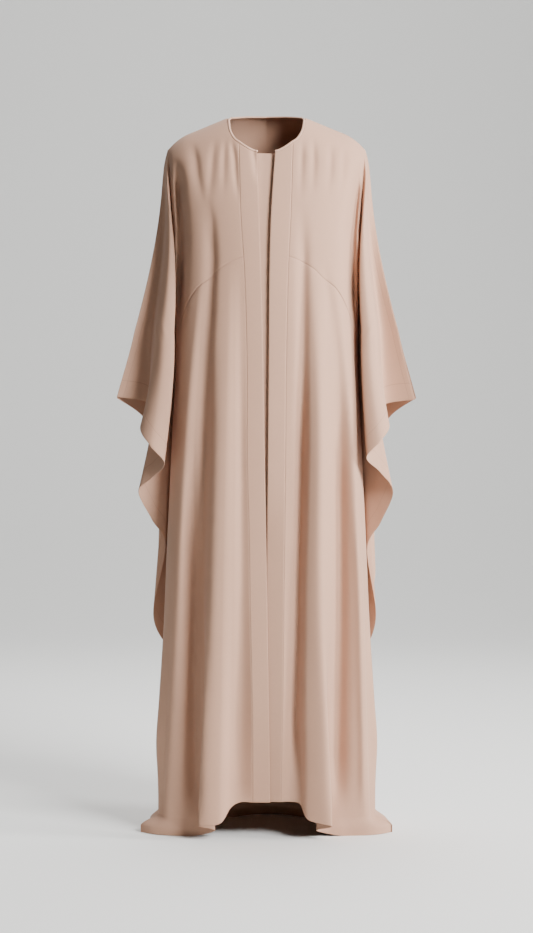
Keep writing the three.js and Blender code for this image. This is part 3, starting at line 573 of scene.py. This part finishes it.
def band_point(side):
    """Place on a band: u from its seam to its front edge, v from the neck to the hem."""
    hem = SKIRT[side][0].rise
    lift = yoke_top(side, 0)[1] - BAND_TOP
    edge_name = "right_edge" if side == RIGHT else "left_edge"

    def point(u, v):
        z = mix(BAND_TOP + (1 - u) ** BAND_LIFT_POWER * lift, hem, v)
        seam = band_seam_out(side, z) - BAND_GAP / 2
        out = mix(seam, read(BAND_LINES, "z", edge_name, z) * side, u)
        sink = LAP_SINK * u * ease(LAP_START, LAP_FULL, z) if side == LEFT else 0
        sink += crease_depth(BAND_CREASES[side], out, z)
        return side * out, front_depth(side, abs(out), z) + sink, z

    return point


def back_top(share):
    size = abs(share)
    if size < NECK_SHARE_BACK:
        out = NECK_HALF_WIDTH * size / NECK_SHARE_BACK
        z = read(BACK_NECK, "out", "z", out)
    else:
        t = (size - NECK_SHARE_BACK) / (1 - NECK_SHARE_BACK)
        out = mix(NECK_HALF_WIDTH, SHOULDER_POINT, t)
        z = read(SHOULDER, "out", "z", out)
    half = read(BODY, "z", "half", z)
    angle = math.degrees(math.asin((out / half) ** (SECTION_POWER / 2)))
    return math.copysign(angle, share), z


def back_fold_lift(angle, z):
    lift = 0.0
    for fold in BACK_FOLDS:
        away = (angle - fold.angle) / fold.width
        height = ease(BACK_FOLD_TOP, HIP_HEIGHT, z) * fold.hip
        height += ease(HIP_HEIGHT, 0, z) * (fold.hem - fold.hip)
        lift += height * math.exp(-away * away)
    return lift


def back_point(u, v):
    """Place on the back: u from side seam to side seam, v from the neck to the floor."""
    share = 2 * u - 1
    row = v * (YOKE_ROWS + SKIRT_ROWS + POOL_ROWS)
    top_angle, top_z = back_top(share)
    low = FLOOR_CLEARANCE + POOL_HEIGHT
    toe = read(BACK_TOES, "angle", "toe", abs(share) * SIDE_SEAM_ANGLE)
    pool_z, spread = pool(max(row - YOKE_ROWS - SKIRT_ROWS, 0), FLOOR_CLEARANCE, toe)
    if row <= YOKE_ROWS:
        z = mix(top_z, YOKE_SIDE_HEIGHT, (row / YOKE_ROWS) ** ROW_CROWDING)
    elif row <= YOKE_ROWS + SKIRT_ROWS:
        z = mix(YOKE_SIDE_HEIGHT, low, (row - YOKE_ROWS) / SKIRT_ROWS)
    else:
        z = pool_z
    climb = clamp((z - UNDERARM_HEIGHT) / (top_z - UNDERARM_HEIGHT), 0, 1)
    edge = read(BACK_ARMHOLE, "z", "angle", min(z, SHOULDER_POINT_HEIGHT))
    angle = share * edge + (top_angle - share * BACK_ARMHOLE[-1].angle) * climb ** BACK_CLIMB
    at_seam = abs(share) > SEAM_SHARE
    lift = 0 if at_seam else back_fold_lift(angle, z) * ease(1, BACK_FOLD_FADE, abs(share))
    x, y, z = round_body(angle, z, lift + (0 if at_seam else spread))
    if at_seam:
        x += share * spread
        y += SIDE_SEAM_GAP / 2
    else:
        side = RIGHT if x < 0 else LEFT
        y -= crease_depth(BACK_CREASES[side], abs(x), z) * ease(*BACK_CREASE_FADE, abs(share))
    if row == 0 and abs(share) > NECK_SHARE_BACK:
        y += SHOULDER_GAP / 2
    return x, y, z


def armhole_groove(z):
    """How far the front armhole seam is drawn in."""
    return GROOVE_DEPTH * ease(SHOULDER_POINT_HEIGHT, GROOVE_TOP, z) * ease(UNDERARM_HEIGHT, GROOVE_FOOT, z)


def armhole_point(side, behind, share):
    z = mix(SHOULDER_POINT_HEIGHT, UNDERARM_HEIGHT, share)
    if behind:
        x, y, z = round_body(side * read(BACK_ARMHOLE, "z", "angle", z), z, 0)
        return x * side, y, z
    out = read(FRONT_ARMHOLE, "z", "out", z)
    return out, smooth_front(out, z), z


def body_side(y, z):
    """How far out the body's side is at a depth behind the middle."""
    deep = clamp(y / read(BODY, "z", "back", z), 0, 1)
    return read(BODY, "z", "half", z) * (1 - deep ** SECTION_POWER) ** (1 / SECTION_POWER)


def sleeve_point(side, behind):
    """Place on half a sleeve: u from overarm to underarm, v from armhole to hem."""
    hangs = SLEEVE_BACK if behind else SLEEVE_FRONT[side]
    turn = 1 if behind else -1
    found = {}

    def seam_shift(share):
        return turn * OVERARM_GAP / 2 * (ease(OVERARM_PART, 0, share) + ease(UNDERARM_PART, 1, share))

    starts = []
    for hang in hangs:
        out, y, z = armhole_point(side, behind, hang.share)
        lift = UNDERARM_LIFT * ease(*LIFT_PART, hang.share)
        starts.append(Level(z, out + ARMHOLE_GAP + lift, y + seam_shift(hang.share)))

    def station(hang, start, v):
        z = mix(start.z, hang.hem_z, v)
        shift = seam_shift(hang.share)
        below = clamp((ELBOW_HEIGHT - z) / (ELBOW_HEIGHT - hang.hem_z), 0, 1)
        above = clamp((z - ELBOW_HEIGHT) / (start.z - ELBOW_HEIGHT), 0, 1)
        curl = ease(0, OVERARM_PART, hang.share) * ease(1, CURL_END, hang.share)
        flare = (below ** SLEEVE_FLARE - below) * curl
        cap = SLEEVE_CAP * math.sin(math.pi * above ** CAP_POWER)
        sag = (SLEEVE_SAG * math.sin(math.pi * above) - cap) * (1 - hang.share)
        levels = [
            Level(hang.hem_z, hang.hem_out, hang.hem + shift),
            Level(ELBOW_HEIGHT, hang.mid_out, hang.mid + shift),
            start,
        ]
        out = read(levels, "z", "out", z) + flare * (hang.hem_out - hang.mid_out) - sag
        y = read(levels, "z", "y", z) + flare * (hang.hem - hang.mid)
        tuck = ease(UNDERARM_PART, 1, hang.share)
        tuck *= ease(UNDERARM_HEIGHT, ELBOW_HEIGHT, z) * ease(*TUCK_HEIGHTS, z)
        if not behind:
            y += armhole_groove(start.z) * math.exp(-(v / GROOVE_SHARE) ** 2)
        if tuck > 0:
            y = mix(y, TUCK_DEPTH, tuck)
            out = mix(out, body_side(TUCK_DEPTH, z) + TUCK_CLEARANCE, tuck)
        return side * out, y, z

    def point(u, v):
        if v not in found:
            found[v] = [station(h, s, v) for h, s in zip(hangs, starts)]
        return along(found[v], u * (len(hangs) - 1))

    return point


def underlap_point(u, v):
    """Place on the inner panel: u from the right band's seam across, v down from the neck."""
    last = len(UNDERLAP) - 1
    x, behind = along([tuple(row) for row in UNDERLAP], u * last)
    z = mix(BAND_TOP - UNDERLAP_NECK_DROP, SKIRT[RIGHT][0].rise + UNDERLAP_HEM_LIFT, v)
    x = max(x, UNDERLAP_SEAM - band_seam_out(RIGHT, z))
    return x, smooth_front(x, z) + behind, z


def to_metres(point):
    x, y, z = point
    return x * MM, y * MM, (z - SHOULDER_HEIGHT) * MM


def sheet_mesh(name, grid, point, flip=False):
    """A grid of cloth laid on a surface, with its own distances in two UV maps."""
    columns, rows = grid
    bm = bmesh.new()
    bmesh.ops.create_grid(bm, x_segments=columns, y_segments=rows, size=0.5)
    spots = {}
    for vert in bm.verts:
        c = round((vert.co.x + 0.5) * columns)
        r = round((0.5 - vert.co.y) * rows)
        spots[vert] = (c, r)
        vert.co = to_metres(point(c / columns, r / rows))
    place = {spot: vert.co.copy() for vert, spot in spots.items()}
    across, down = {}, {}
    for r in range(rows + 1):
        total = 0.0
        for c in range(columns + 1):
            if c:
                total += (place[c, r] - place[c - 1, r]).length
            across[c, r] = total
    for c in range(columns + 1):
        total = 0.0
        for r in range(rows + 1):
            if r:
                total += (place[c, r] - place[c, r - 1]).length
            down[c, r] = total
    cloth = bm.loops.layers.uv.new("cloth")
    edges = bm.loops.layers.uv.new("edges")
    for face in bm.faces:
        for loop in face.loops:
            c, r = spots[loop.vert]
            loop[cloth].uv = (across[c, r], down[c, rows] - down[c, r])
            loop[edges].uv = (across[columns, r] - across[c, r], down[c, r])
    if flip:
        bmesh.ops.reverse_faces(bm, faces=bm.faces)
    for face in bm.faces:
        face.smooth = True
    mesh = bpy.data.meshes.new(name)
    bm.to_mesh(mesh)
    bm.free()
    return mesh


# Places of sockets on their nodes
OBJECT_COORDS = 3
MIX_FACTOR = 0
MIX_FIRST = 6
MIX_SECOND = 7
MIX_RESULT = 2

# Scales, depths in metres and shares of the crepe's texture
MOTTLE_SCALE = 7.0
GRAIN_SCALE = 900.0
SLUB_SCALE = 160.0
GRAIN_DEPTH = 0.00012
SLUB_DEPTH = 0.0001
MOTTLE_SHADE = 0.10
SLUB_SHADE = 0.05
BASE_SHADE = 0.925
LINE_CORE = 0.35


class Socket:
    """A shader value that plain arithmetic works on."""

    def __init__(self, maker, link):
        self.maker = maker
        self.link = link

    def _math(self, operation, *values):
        return self.maker.node("ShaderNodeMath", {"operation": operation}, dict(enumerate(values)))[0]

    def __add__(self, other):
        return self._math("ADD", self, other)

    def __radd__(self, other):
        return self._math("ADD", other, self)

    def __sub__(self, other):
        return self._math("SUBTRACT", self, other)

    def __rsub__(self, other):
        return self._math("SUBTRACT", other, self)

    def __mul__(self, other):
        return self._math("MULTIPLY", self, other)

    def __rmul__(self, other):
        return self._math("MULTIPLY", other, self)

    def size(self):
        return self._math("ABSOLUTE", self)

    def within(self, inner, outer):
        """1 up to the inner value and 0 past the outer one."""
        values = {"Value": self, "From Min": inner, "From Max": outer, "To Min": 1.0, "To Max": 0.0}
        return self.maker.node("ShaderNodeMapRange", {"interpolation_type": "SMOOTHSTEP"}, values)[0]


class Shader:
    """Makes the nodes of one material."""

    def __init__(self, name):
        self.material = bpy.data.materials.new(name)
        self.material.use_nodes = True
        self.tree = self.material.node_tree
        self.tree.nodes.clear()

    def node(self, kind, settings=None, inputs=None):
        made = self.tree.nodes.new(kind)
        for key, value in (settings or {}).items():
            setattr(made, key, value)
        for key, value in (inputs or {}).items():
            if isinstance(value, Socket):
                self.tree.links.new(value.link, made.inputs[key])
            else:
                made.inputs[key].default_value = value
        return [Socket(self, output) for output in made.outputs]

    def blend(self, factor, first, second, mode="MIX"):
        settings = {"data_type": "RGBA", "blend_type": mode}
        inputs = {MIX_FACTOR: factor, MIX_FIRST: first, MIX_SECOND: second}
        return self.node("ShaderNodeMix", settings, inputs)[MIX_RESULT]


SeamLine = namedtuple("SeamLine", "layer axis at width depth shade")
ACROSS = 0
DOWN = 1
SEAM_WIDTH = 0.0022
SEAM_DEPTH = 0.0004
SEAM_SHADE = 0.04
YOKE_TOP_SHADE = 0.05


def cloth_material(name, colour, lines=()):
    """Matt crepe with its grain, faint shade changes, and sewn lines across it."""
    shader = Shader(name)
    position = shader.node("ShaderNodeTexCoord")[OBJECT_COORDS]
    layers = {}
    for layer in ("cloth", "edges"):
        uv = shader.node("ShaderNodeUVMap", {"uv_map": layer})[0]
        layers[layer] = shader.node("ShaderNodeSeparateXYZ", None, {0: uv})
    mottle = shader.node(
        "ShaderNodeTexNoise", None, {"Vector": position, "Scale": MOTTLE_SCALE, "Detail": 3.0})[0]
    grain = shader.node(
        "ShaderNodeTexNoise", None, {"Vector": position, "Scale": GRAIN_SCALE, "Detail": 2.0})[0]
    slub = shader.node(
        "ShaderNodeTexNoise", None, {"Vector": position, "Scale": SLUB_SCALE, "Detail": 2.0})[0]
    height = grain * GRAIN_DEPTH + slub * SLUB_DEPTH
    tone = mottle * MOTTLE_SHADE + slub * SLUB_SHADE + BASE_SHADE
    for line in lines:
        away = (layers[line.layer][line.axis] - line.at).size()
        mark = away.within(line.width * LINE_CORE, line.width)
        height = height - mark * line.depth
        tone = tone - mark * line.shade
    full = (*colour, 1.0)
    shade = shader.node("ShaderNodeCombineXYZ", None, {0: tone, 1: tone, 2: tone})[0]
    base = shader.blend(1.0, full, shade, "MULTIPLY")
    normal = shader.node("ShaderNodeBump", None, {"Strength": 0.5, "Distance": 1.0, "Height": height})[0]
    surface = shader.node("ShaderNodeBsdfPrincipled", None, {
        "Base Color": base, "Roughness": 0.78, "Normal": normal,
        "Sheen Weight": 0.12, "Sheen Roughness": 0.45, "Sheen Tint": (1.0, 0.93, 0.88, 1.0),
        "Specular IOR Level": 0.25,
    })[0]
    shader.node("ShaderNodeOutputMaterial", None, {"Surface": surface})
    return shader.material


def plain_material(name, colour, roughness):
    shader = Shader(name)
    surface = shader.node("ShaderNodeBsdfPrincipled", None, {
        "Base Color": (*colour, 1.0), "Roughness": roughness, "Specular IOR Level": 0.2,
    })[0]
    shader.node("ShaderNodeOutputMaterial", None, {"Surface": surface})
    return shader.material


def show(name, mesh):
    piece = bpy.data.objects.new(name, mesh)
    bpy.context.scene.collection.objects.link(piece)
    return piece


# Flat cut of each piece: width, length and share of that rectangle which it fills
Cut = namedtuple("Cut", "width length share")
CUTS = {
    "back_panel": Cut(0.79, 1.56, 0.72),
    "front_yoke": Cut(0.255, 0.40, 0.61),
    "front_panel": Cut(0.375, 1.155, 0.60),
    "front_band": Cut(0.042, 1.365, 0.84),
    "inner_panel": Cut(0.072, 1.33, 0.91),
    "sleeve_front": Cut(0.38, 0.87, 0.39),
    "sleeve_back": Cut(0.38, 0.87, 0.385),
}


def hang_cloth(node, mesh, material):
    """Gives a sheet its thickness, and puts it in the place of its solid."""
    piece = show("cloth_" + node, mesh)
    mesh.materials.append(material)
    wall = piece.modifiers.new("Thickness", "SOLIDIFY")
    wall.thickness = bpy.context.scene.abaya_cloth.thickness
    wall.offset = 0.0
    wall.use_even_offset = False
    shading = piece.modifiers.new("Edge shading", "WEIGHTED_NORMAL")
    shading.weight = 100
    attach(piece, "root")
    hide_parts(node)
    cut = CUTS[node.removesuffix("_right").removesuffix("_left")]
    cut.width * cut.length * cut.share


SIDES = ((RIGHT, "right"), (LEFT, "left"))
HEM_STITCH = 0.036

# The cuff's stitching has a width, depth and shade, and the overarm's has its place before them
CUFF_STITCH = (0.0012, 0.0005, 0.16)
OVERARM_STITCH = (0.013, 0.0011, 0.0004, 0.10)


class AbayaCloth(bpy.types.PropertyGroup):
    thickness: FloatProperty(
        name="Cloth thickness", description="Thickness of the crepe",
        default=0.0009, min=0.0003, max=0.002, unit="LENGTH")
    colour: FloatVectorProperty(
        name="Crepe", description="Colour of the crepe", subtype="COLOR", size=3,
        default=(0.495, 0.290, 0.198), min=0.0, max=1.0)
    # The binding's colour is the same crepe made lighter, a painted highlight on the lit roll of the binding
    binding_highlit_colour: FloatVectorProperty(
        name="Binding", description="Colour of the neck binding", subtype="COLOR", size=3,
        default=(0.56, 0.340, 0.240), min=0.0, max=1.0)
    cuff_hem: FloatProperty(
        name="Cuff hem", description="Distance of the cuff's stitching from its edge",
        default=HEM_STITCH, min=0.005, max=0.08, unit="LENGTH")


class AbayaStudio(bpy.types.PropertyGroup):
    floor_colour: FloatVectorProperty(
        name="Floor", description="Colour of the floor and backdrop", subtype="COLOR", size=3,
        default=(0.85, 0.85, 0.83), min=0.0, max=1.0)
    key_power: FloatProperty(
        name="Key light", description="Power of the main light", default=84.0, min=0.0, unit="POWER")
    side_power: FloatProperty(
        name="Side light", description="Power of the light from the right",
        default=225.0, min=0.0, unit="POWER")
    overhead_power: FloatProperty(
        name="Overhead light", description="Power of the light over the garment", default=44.0,
        min=0.0, unit="POWER")
    foreground_power: FloatProperty(
        name="Foreground light", description="Power of the light on the floor in front", default=8.0,
        min=0.0, unit="POWER")
    backdrop_power: FloatProperty(
        name="Backdrop light", description="Power of the light on the backdrop", default=190.0,
        min=0.0, unit="POWER")
    sky: FloatProperty(
        name="Room light", description="Brightness of the light from all round", default=0.02, min=0.0)


class ABAYA_OT_back(bpy.types.Operator):
    """Lays the back from the neck and shoulders to the floor"""
    bl_idname = "abaya.back"
    bl_label = "Back"

    def execute(self, context):
        mesh = sheet_mesh("back", BACK_GRID, back_point, flip=True)
        material = cloth_material("back_crepe", context.scene.abaya_cloth.colour)
        hang_cloth("back_panel", mesh, material)
        return {"FINISHED"}


class ABAYA_OT_yokes(bpy.types.Operator):
    """Lays the two front yokes, from the shoulders to the curved seam under the bust"""
    bl_idname = "abaya.yokes"
    bl_label = "Front yokes"

    def execute(self, context):
        seam = SeamLine("cloth", DOWN, 0.0, SEAM_WIDTH, SEAM_DEPTH, YOKE_TOP_SHADE)
        edge = SeamLine("cloth", ACROSS, 0.0, SEAM_WIDTH, SEAM_DEPTH, SEAM_SHADE)
        material = cloth_material("yoke_crepe", context.scene.abaya_cloth.colour, (seam, edge))
        for side, word in SIDES:
            mesh = sheet_mesh("yoke_" + word, YOKE_GRID, yoke_point(side), flip=side == RIGHT)
            hang_cloth("front_yoke_" + word, mesh, material)
        return {"FINISHED"}


class ABAYA_OT_panels(bpy.types.Operator):
    """Lays the two front panels, with their deep flutes and raised hem"""
    bl_idname = "abaya.panels"
    bl_label = "Front panels"

    def execute(self, context):
        seam = SeamLine("edges", DOWN, 0.0, SEAM_WIDTH, SEAM_DEPTH, SEAM_SHADE)
        edge = SeamLine("cloth", ACROSS, 0.0, SEAM_WIDTH, SEAM_DEPTH, SEAM_SHADE)
        material = cloth_material("panel_crepe", context.scene.abaya_cloth.colour, (seam, edge))
        for side, word in SIDES:
            mesh = sheet_mesh("panel_" + word, PANEL_GRID, panel_point(side), flip=side == RIGHT)
            hang_cloth("front_panel_" + word, mesh, material)
        return {"FINISHED"}


class ABAYA_OT_bands(bpy.types.Operator):
    """Lays the two front bands, the right one over the left below the hip"""
    bl_idname = "abaya.bands"
    bl_label = "Front bands"

    def execute(self, context):
        edge = SeamLine("cloth", ACROSS, 0.0, SEAM_WIDTH, SEAM_DEPTH, SEAM_SHADE)
        material = cloth_material("band_crepe", context.scene.abaya_cloth.colour, (edge,))
        for side, word in SIDES:
            mesh = sheet_mesh("band_" + word, BAND_GRID, band_point(side), flip=side == RIGHT)
            hang_cloth("front_band_" + word, mesh, material)
        return {"FINISHED"}


class ABAYA_OT_inner_panel(bpy.types.Operator):
    """Lays the inner panel behind the bands"""
    bl_idname = "abaya.inner_panel"
    bl_label = "Inner panel"

    def execute(self, context):
        material = cloth_material("inner_crepe", context.scene.abaya_cloth.colour)
        mesh = sheet_mesh("inner", INNER_GRID, underlap_point)
        hang_cloth("inner_panel", mesh, material)
        return {"FINISHED"}


class ABAYA_OT_sleeves(bpy.types.Operator):
    """Lays the front and back halves of the butterfly sleeves, with stitched hems"""
    bl_idname = "abaya.sleeves"
    bl_label = "Sleeves"

    def execute(self, context):
        cloth = context.scene.abaya_cloth
        hem = SeamLine("cloth", DOWN, cloth.cuff_hem, *CUFF_STITCH)
        overarm = SeamLine("cloth", ACROSS, *OVERARM_STITCH)
        front = cloth_material("sleeve_front_crepe", cloth.colour, (hem, overarm))
        behind = cloth_material("sleeve_back_crepe", cloth.colour, (hem,))
        for side, word in SIDES:
            surface = sleeve_point(side, False)
            mesh = sheet_mesh("sleeve_front_" + word, SLEEVE_FRONT_GRID, surface, flip=side == LEFT)
            hang_cloth("sleeve_front_" + word, mesh, front)
            surface = sleeve_point(side, True)
            mesh = sheet_mesh("sleeve_back_" + word, SLEEVE_BACK_GRID, surface, flip=side == RIGHT)
            hang_cloth("sleeve_back_" + word, mesh, behind)
        return {"FINISHED"}


def neck_edge():
    """Points of the neck edge, from the right band round the back to the left band."""
    def half(side):
        band, yoke = band_point(side), yoke_point(side)
        points = [band(1 - k / BAND_NECK_STEPS, 0) for k in range(BAND_NECK_STEPS + 1)]
        for k in range(1, YOKE_NECK_STEPS):
            points.append(yoke(NECK_SHARE_FRONT * k / YOKE_NECK_STEPS, 0))
        return points

    reach = NECK_SHARE_BACK / 2
    steps = range(1 - BACK_NECK_STEPS, BACK_NECK_STEPS)
    behind = [back_point(0.5 + reach * k / BACK_NECK_STEPS, 0) for k in steps]
    return half(RIGHT) + behind + half(LEFT)[::-1]


def unit(line):
    size = math.hypot(*line)
    return [part / size for part in line]


def binding_point(edge):
    """Place on the rolled binding: u along the neck edge, v round the roll."""
    last = len(edge) - 1

    def point(u, v):
        t = u * last
        here = along(edge, t)
        after = along(edge, min(t + BINDING_STEP, last))
        before = along(edge, max(t - BINDING_STEP, 0))
        ahead = unit([a - b for a, b in zip(after, before)])
        inward = [c - p for c, p in zip(NECK_CENTRE, here)]
        slip = sum(i * a for i, a in zip(inward, ahead))
        away = unit([i - a * slip for i, a in zip(inward, ahead)])
        sideways = [ahead[1] * away[2] - ahead[2] * away[1],
                    ahead[2] * away[0] - ahead[0] * away[2],
                    ahead[0] * away[1] - ahead[1] * away[0]]
        turn = 2 * math.pi * v
        reach = BINDING_RADIUS + BINDING_GAP + BINDING_RADIUS * math.cos(turn)
        push = BINDING_RADIUS * BINDING_FLATNESS * math.sin(turn)
        return [p + a * reach + s * push for p, a, s in zip(here, away, sideways)]

    return point


class ABAYA_OT_binding(bpy.types.Operator):
    """Rolls the narrow binding round the neck edge"""
    bl_idname = "abaya.binding"
    bl_label = "Neck binding"

    def execute(self, context):
        mesh = sheet_mesh("binding", BINDING_GRID, binding_point(neck_edge()))
        bm = bmesh.new()
        bm.from_mesh(mesh)
        bmesh.ops.remove_doubles(bm, verts=bm.verts, dist=0.00001)
        bmesh.ops.holes_fill(bm, edges=[edge for edge in bm.edges if edge.is_boundary])
        bmesh.ops.recalc_face_normals(bm, faces=bm.faces)
        bm.to_mesh(mesh)
        bm.free()
        # The binding takes the lighter copy of the crepe, a painted highlight on its roll
        mesh.materials.append(cloth_material("binding_crepe", context.scene.abaya_cloth.binding_highlit_colour))
        piece = show("cloth_neck_binding", mesh)
        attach(piece, "root")
        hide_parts("neck_binding")
        return {"FINISHED"}


CAMERA_DISTANCE = 4.0
CAMERA_HEIGHT = 0.88
CAMERA_TILT = 1.61
CAMERA_LENS = 73.5
SENSOR = 36.0
FLOOR = -SHOULDER_HEIGHT * MM
FLOOR_FRONT = -6.0
SWEEP_START = 3.4
SWEEP_RADIUS = 3.4
WALL_TOP = 5.0
STAGE_HALF_WIDTH = 7.0


def sweep_point(u, v):
    """Place on the floor and backdrop: u across, v from the front of the floor to the wall's top."""
    x = mix(-STAGE_HALF_WIDTH, STAGE_HALF_WIDTH, u)
    flat = SWEEP_START - FLOOR_FRONT
    arc = SWEEP_RADIUS * math.pi / 2
    wall = WALL_TOP - SWEEP_RADIUS
    reach = v * (flat + arc + wall)
    if reach < flat:
        return x, FLOOR_FRONT + reach, FLOOR
    if reach < flat + arc:
        turn = (reach - flat) / SWEEP_RADIUS
        return x, SWEEP_START + SWEEP_RADIUS * math.sin(turn), FLOOR + SWEEP_RADIUS * (1 - math.cos(turn))
    return x, SWEEP_START + SWEEP_RADIUS, FLOOR + SWEEP_RADIUS + reach - flat - arc


# Soft lights: places, aims and sizes in metres, the studio setting that holds the
# power, and the angle over which the light spreads
Lamp = namedtuple("Lamp", "name place aim size power spread")
LAMPS = (
    Lamp("key", (2.25, -2.45, 1.25), (0.0, 0.0, -0.3), (1.6, 1.3), "key_power", 90),
    Lamp("side", (4.2, -1.0, 0.1), (0.0, 0.0, -1.0), (0.9, 1.2), "side_power", 180),
    Lamp("foreground", (0.0, -1.7, 2.9), (0.0, -1.7, -1.5), (3.0, 0.8), "foreground_power", 50),
    Lamp("overhead", (0.0, 1.3, 2.9), (0.0, 0.9, -1.5), (3.6, 2.4), "overhead_power", 80),
    Lamp("backdrop", (0.0, 3.0, 2.9), (0.0, 6.2, -0.8), (7.0, 2.4), "backdrop_power", 180),
)
ROOM_COLOUR = (1.0, 0.99, 0.97, 1.0)
STAGE_GRID = (8, 120)
PAPER_ROUGHNESS = 0.9


def soft_light(name, place, aim, size, power, spread):
    data = bpy.data.lights.new(name, "AREA")
    data.shape = "RECTANGLE"
    data.size, data.size_y = size
    data.energy = power
    data.spread = math.radians(spread)
    lamp = bpy.data.objects.new(name, data)
    bpy.context.scene.collection.objects.link(lamp)
    lamp.location = place
    direction = [a - p for a, p in zip(aim, place)]
    flat = math.hypot(direction[0], direction[1])
    tilt = math.atan2(flat, -direction[2])
    lamp.rotation_euler = (tilt, 0.0, math.atan2(-direction[0], direction[1]))


class ABAYA_OT_studio(bpy.types.Operator):
    """Sets the plain pale floor and backdrop, the soft lights and the camera"""
    bl_idname = "abaya.studio"
    bl_label = "Studio"

    def execute(self, context):
        studio = context.scene.abaya_studio
        bm = bmesh.new()
        bmesh.ops.create_grid(bm, x_segments=STAGE_GRID[0], y_segments=STAGE_GRID[1], size=0.5)
        for vert in bm.verts:
            vert.co = sweep_point(vert.co.x + 0.5, vert.co.y + 0.5)
        for face in bm.faces:
            face.smooth = True
        mesh = bpy.data.meshes.new("studio_floor")
        bm.to_mesh(mesh)
        bm.free()
        mesh.materials.append(plain_material("studio_paper", studio.floor_colour, PAPER_ROUGHNESS))
        show("studio_floor", mesh)
        for lamp in LAMPS:
            soft_light(lamp.name, lamp.place, lamp.aim, lamp.size, getattr(studio, lamp.power), lamp.spread)
        world = bpy.data.worlds.new("room")
        world.use_nodes = True
        background = world.node_tree.nodes["Background"]
        background.inputs["Color"].default_value = ROOM_COLOUR
        background.inputs["Strength"].default_value = studio.sky
        context.scene.world = world
        data = bpy.data.cameras.new("camera")
        data.lens = CAMERA_LENS
        data.sensor_width = SENSOR
        camera = bpy.data.objects.new("camera", data)
        context.scene.collection.objects.link(camera)
        camera.location = (0.0, -CAMERA_DISTANCE, FLOOR + CAMERA_HEIGHT)
        camera.rotation_euler = (math.radians(90 - CAMERA_TILT), 0.0, 0.0)
        context.scene.camera = camera
        return {"FINISHED"}


class ABAYA_PT_panel(bpy.types.Panel):
    """Sizes, colours and pieces of the abaya"""
    bl_idname = "ABAYA_PT_panel"
    bl_label = "Abaya"
    bl_space_type = "VIEW_3D"
    bl_region_type = "UI"
    bl_category = "Abaya"

    def draw(self, context):
        for group in (context.scene.abaya_cloth, context.scene.abaya_studio):
            for name in group.__annotations__:
                self.layout.prop(group, name)
        for operator in OPERATORS:
            self.layout.operator(operator.bl_idname)


OPERATORS = (
    ABAYA_OT_studio,
    ABAYA_OT_back,
    ABAYA_OT_yokes,
    ABAYA_OT_panels,
    ABAYA_OT_bands,
    ABAYA_OT_inner_panel,
    ABAYA_OT_sleeves,
    ABAYA_OT_binding,
)
CLASSES = (AbayaCloth, AbayaStudio, *OPERATORS, ABAYA_PT_panel)


def register():
    for cls in CLASSES:
        bpy.utils.register_class(cls)
    bpy.types.Scene.abaya_cloth = PointerProperty(type=AbayaCloth)
    bpy.types.Scene.abaya_studio = PointerProperty(type=AbayaStudio)


def unregister():
    del bpy.types.Scene.abaya_studio
    del bpy.types.Scene.abaya_cloth
    for cls in reversed(CLASSES):
        bpy.utils.unregister_class(cls)


def main():
    register()
    bpy.ops.abaya.studio()
    bpy.ops.abaya.back()
    bpy.ops.abaya.yokes()
    bpy.ops.abaya.panels()
    bpy.ops.abaya.bands()
    bpy.ops.abaya.inner_panel()
    bpy.ops.abaya.sleeves()
    bpy.ops.abaya.binding()


if __name__ == "__main__":
    main()
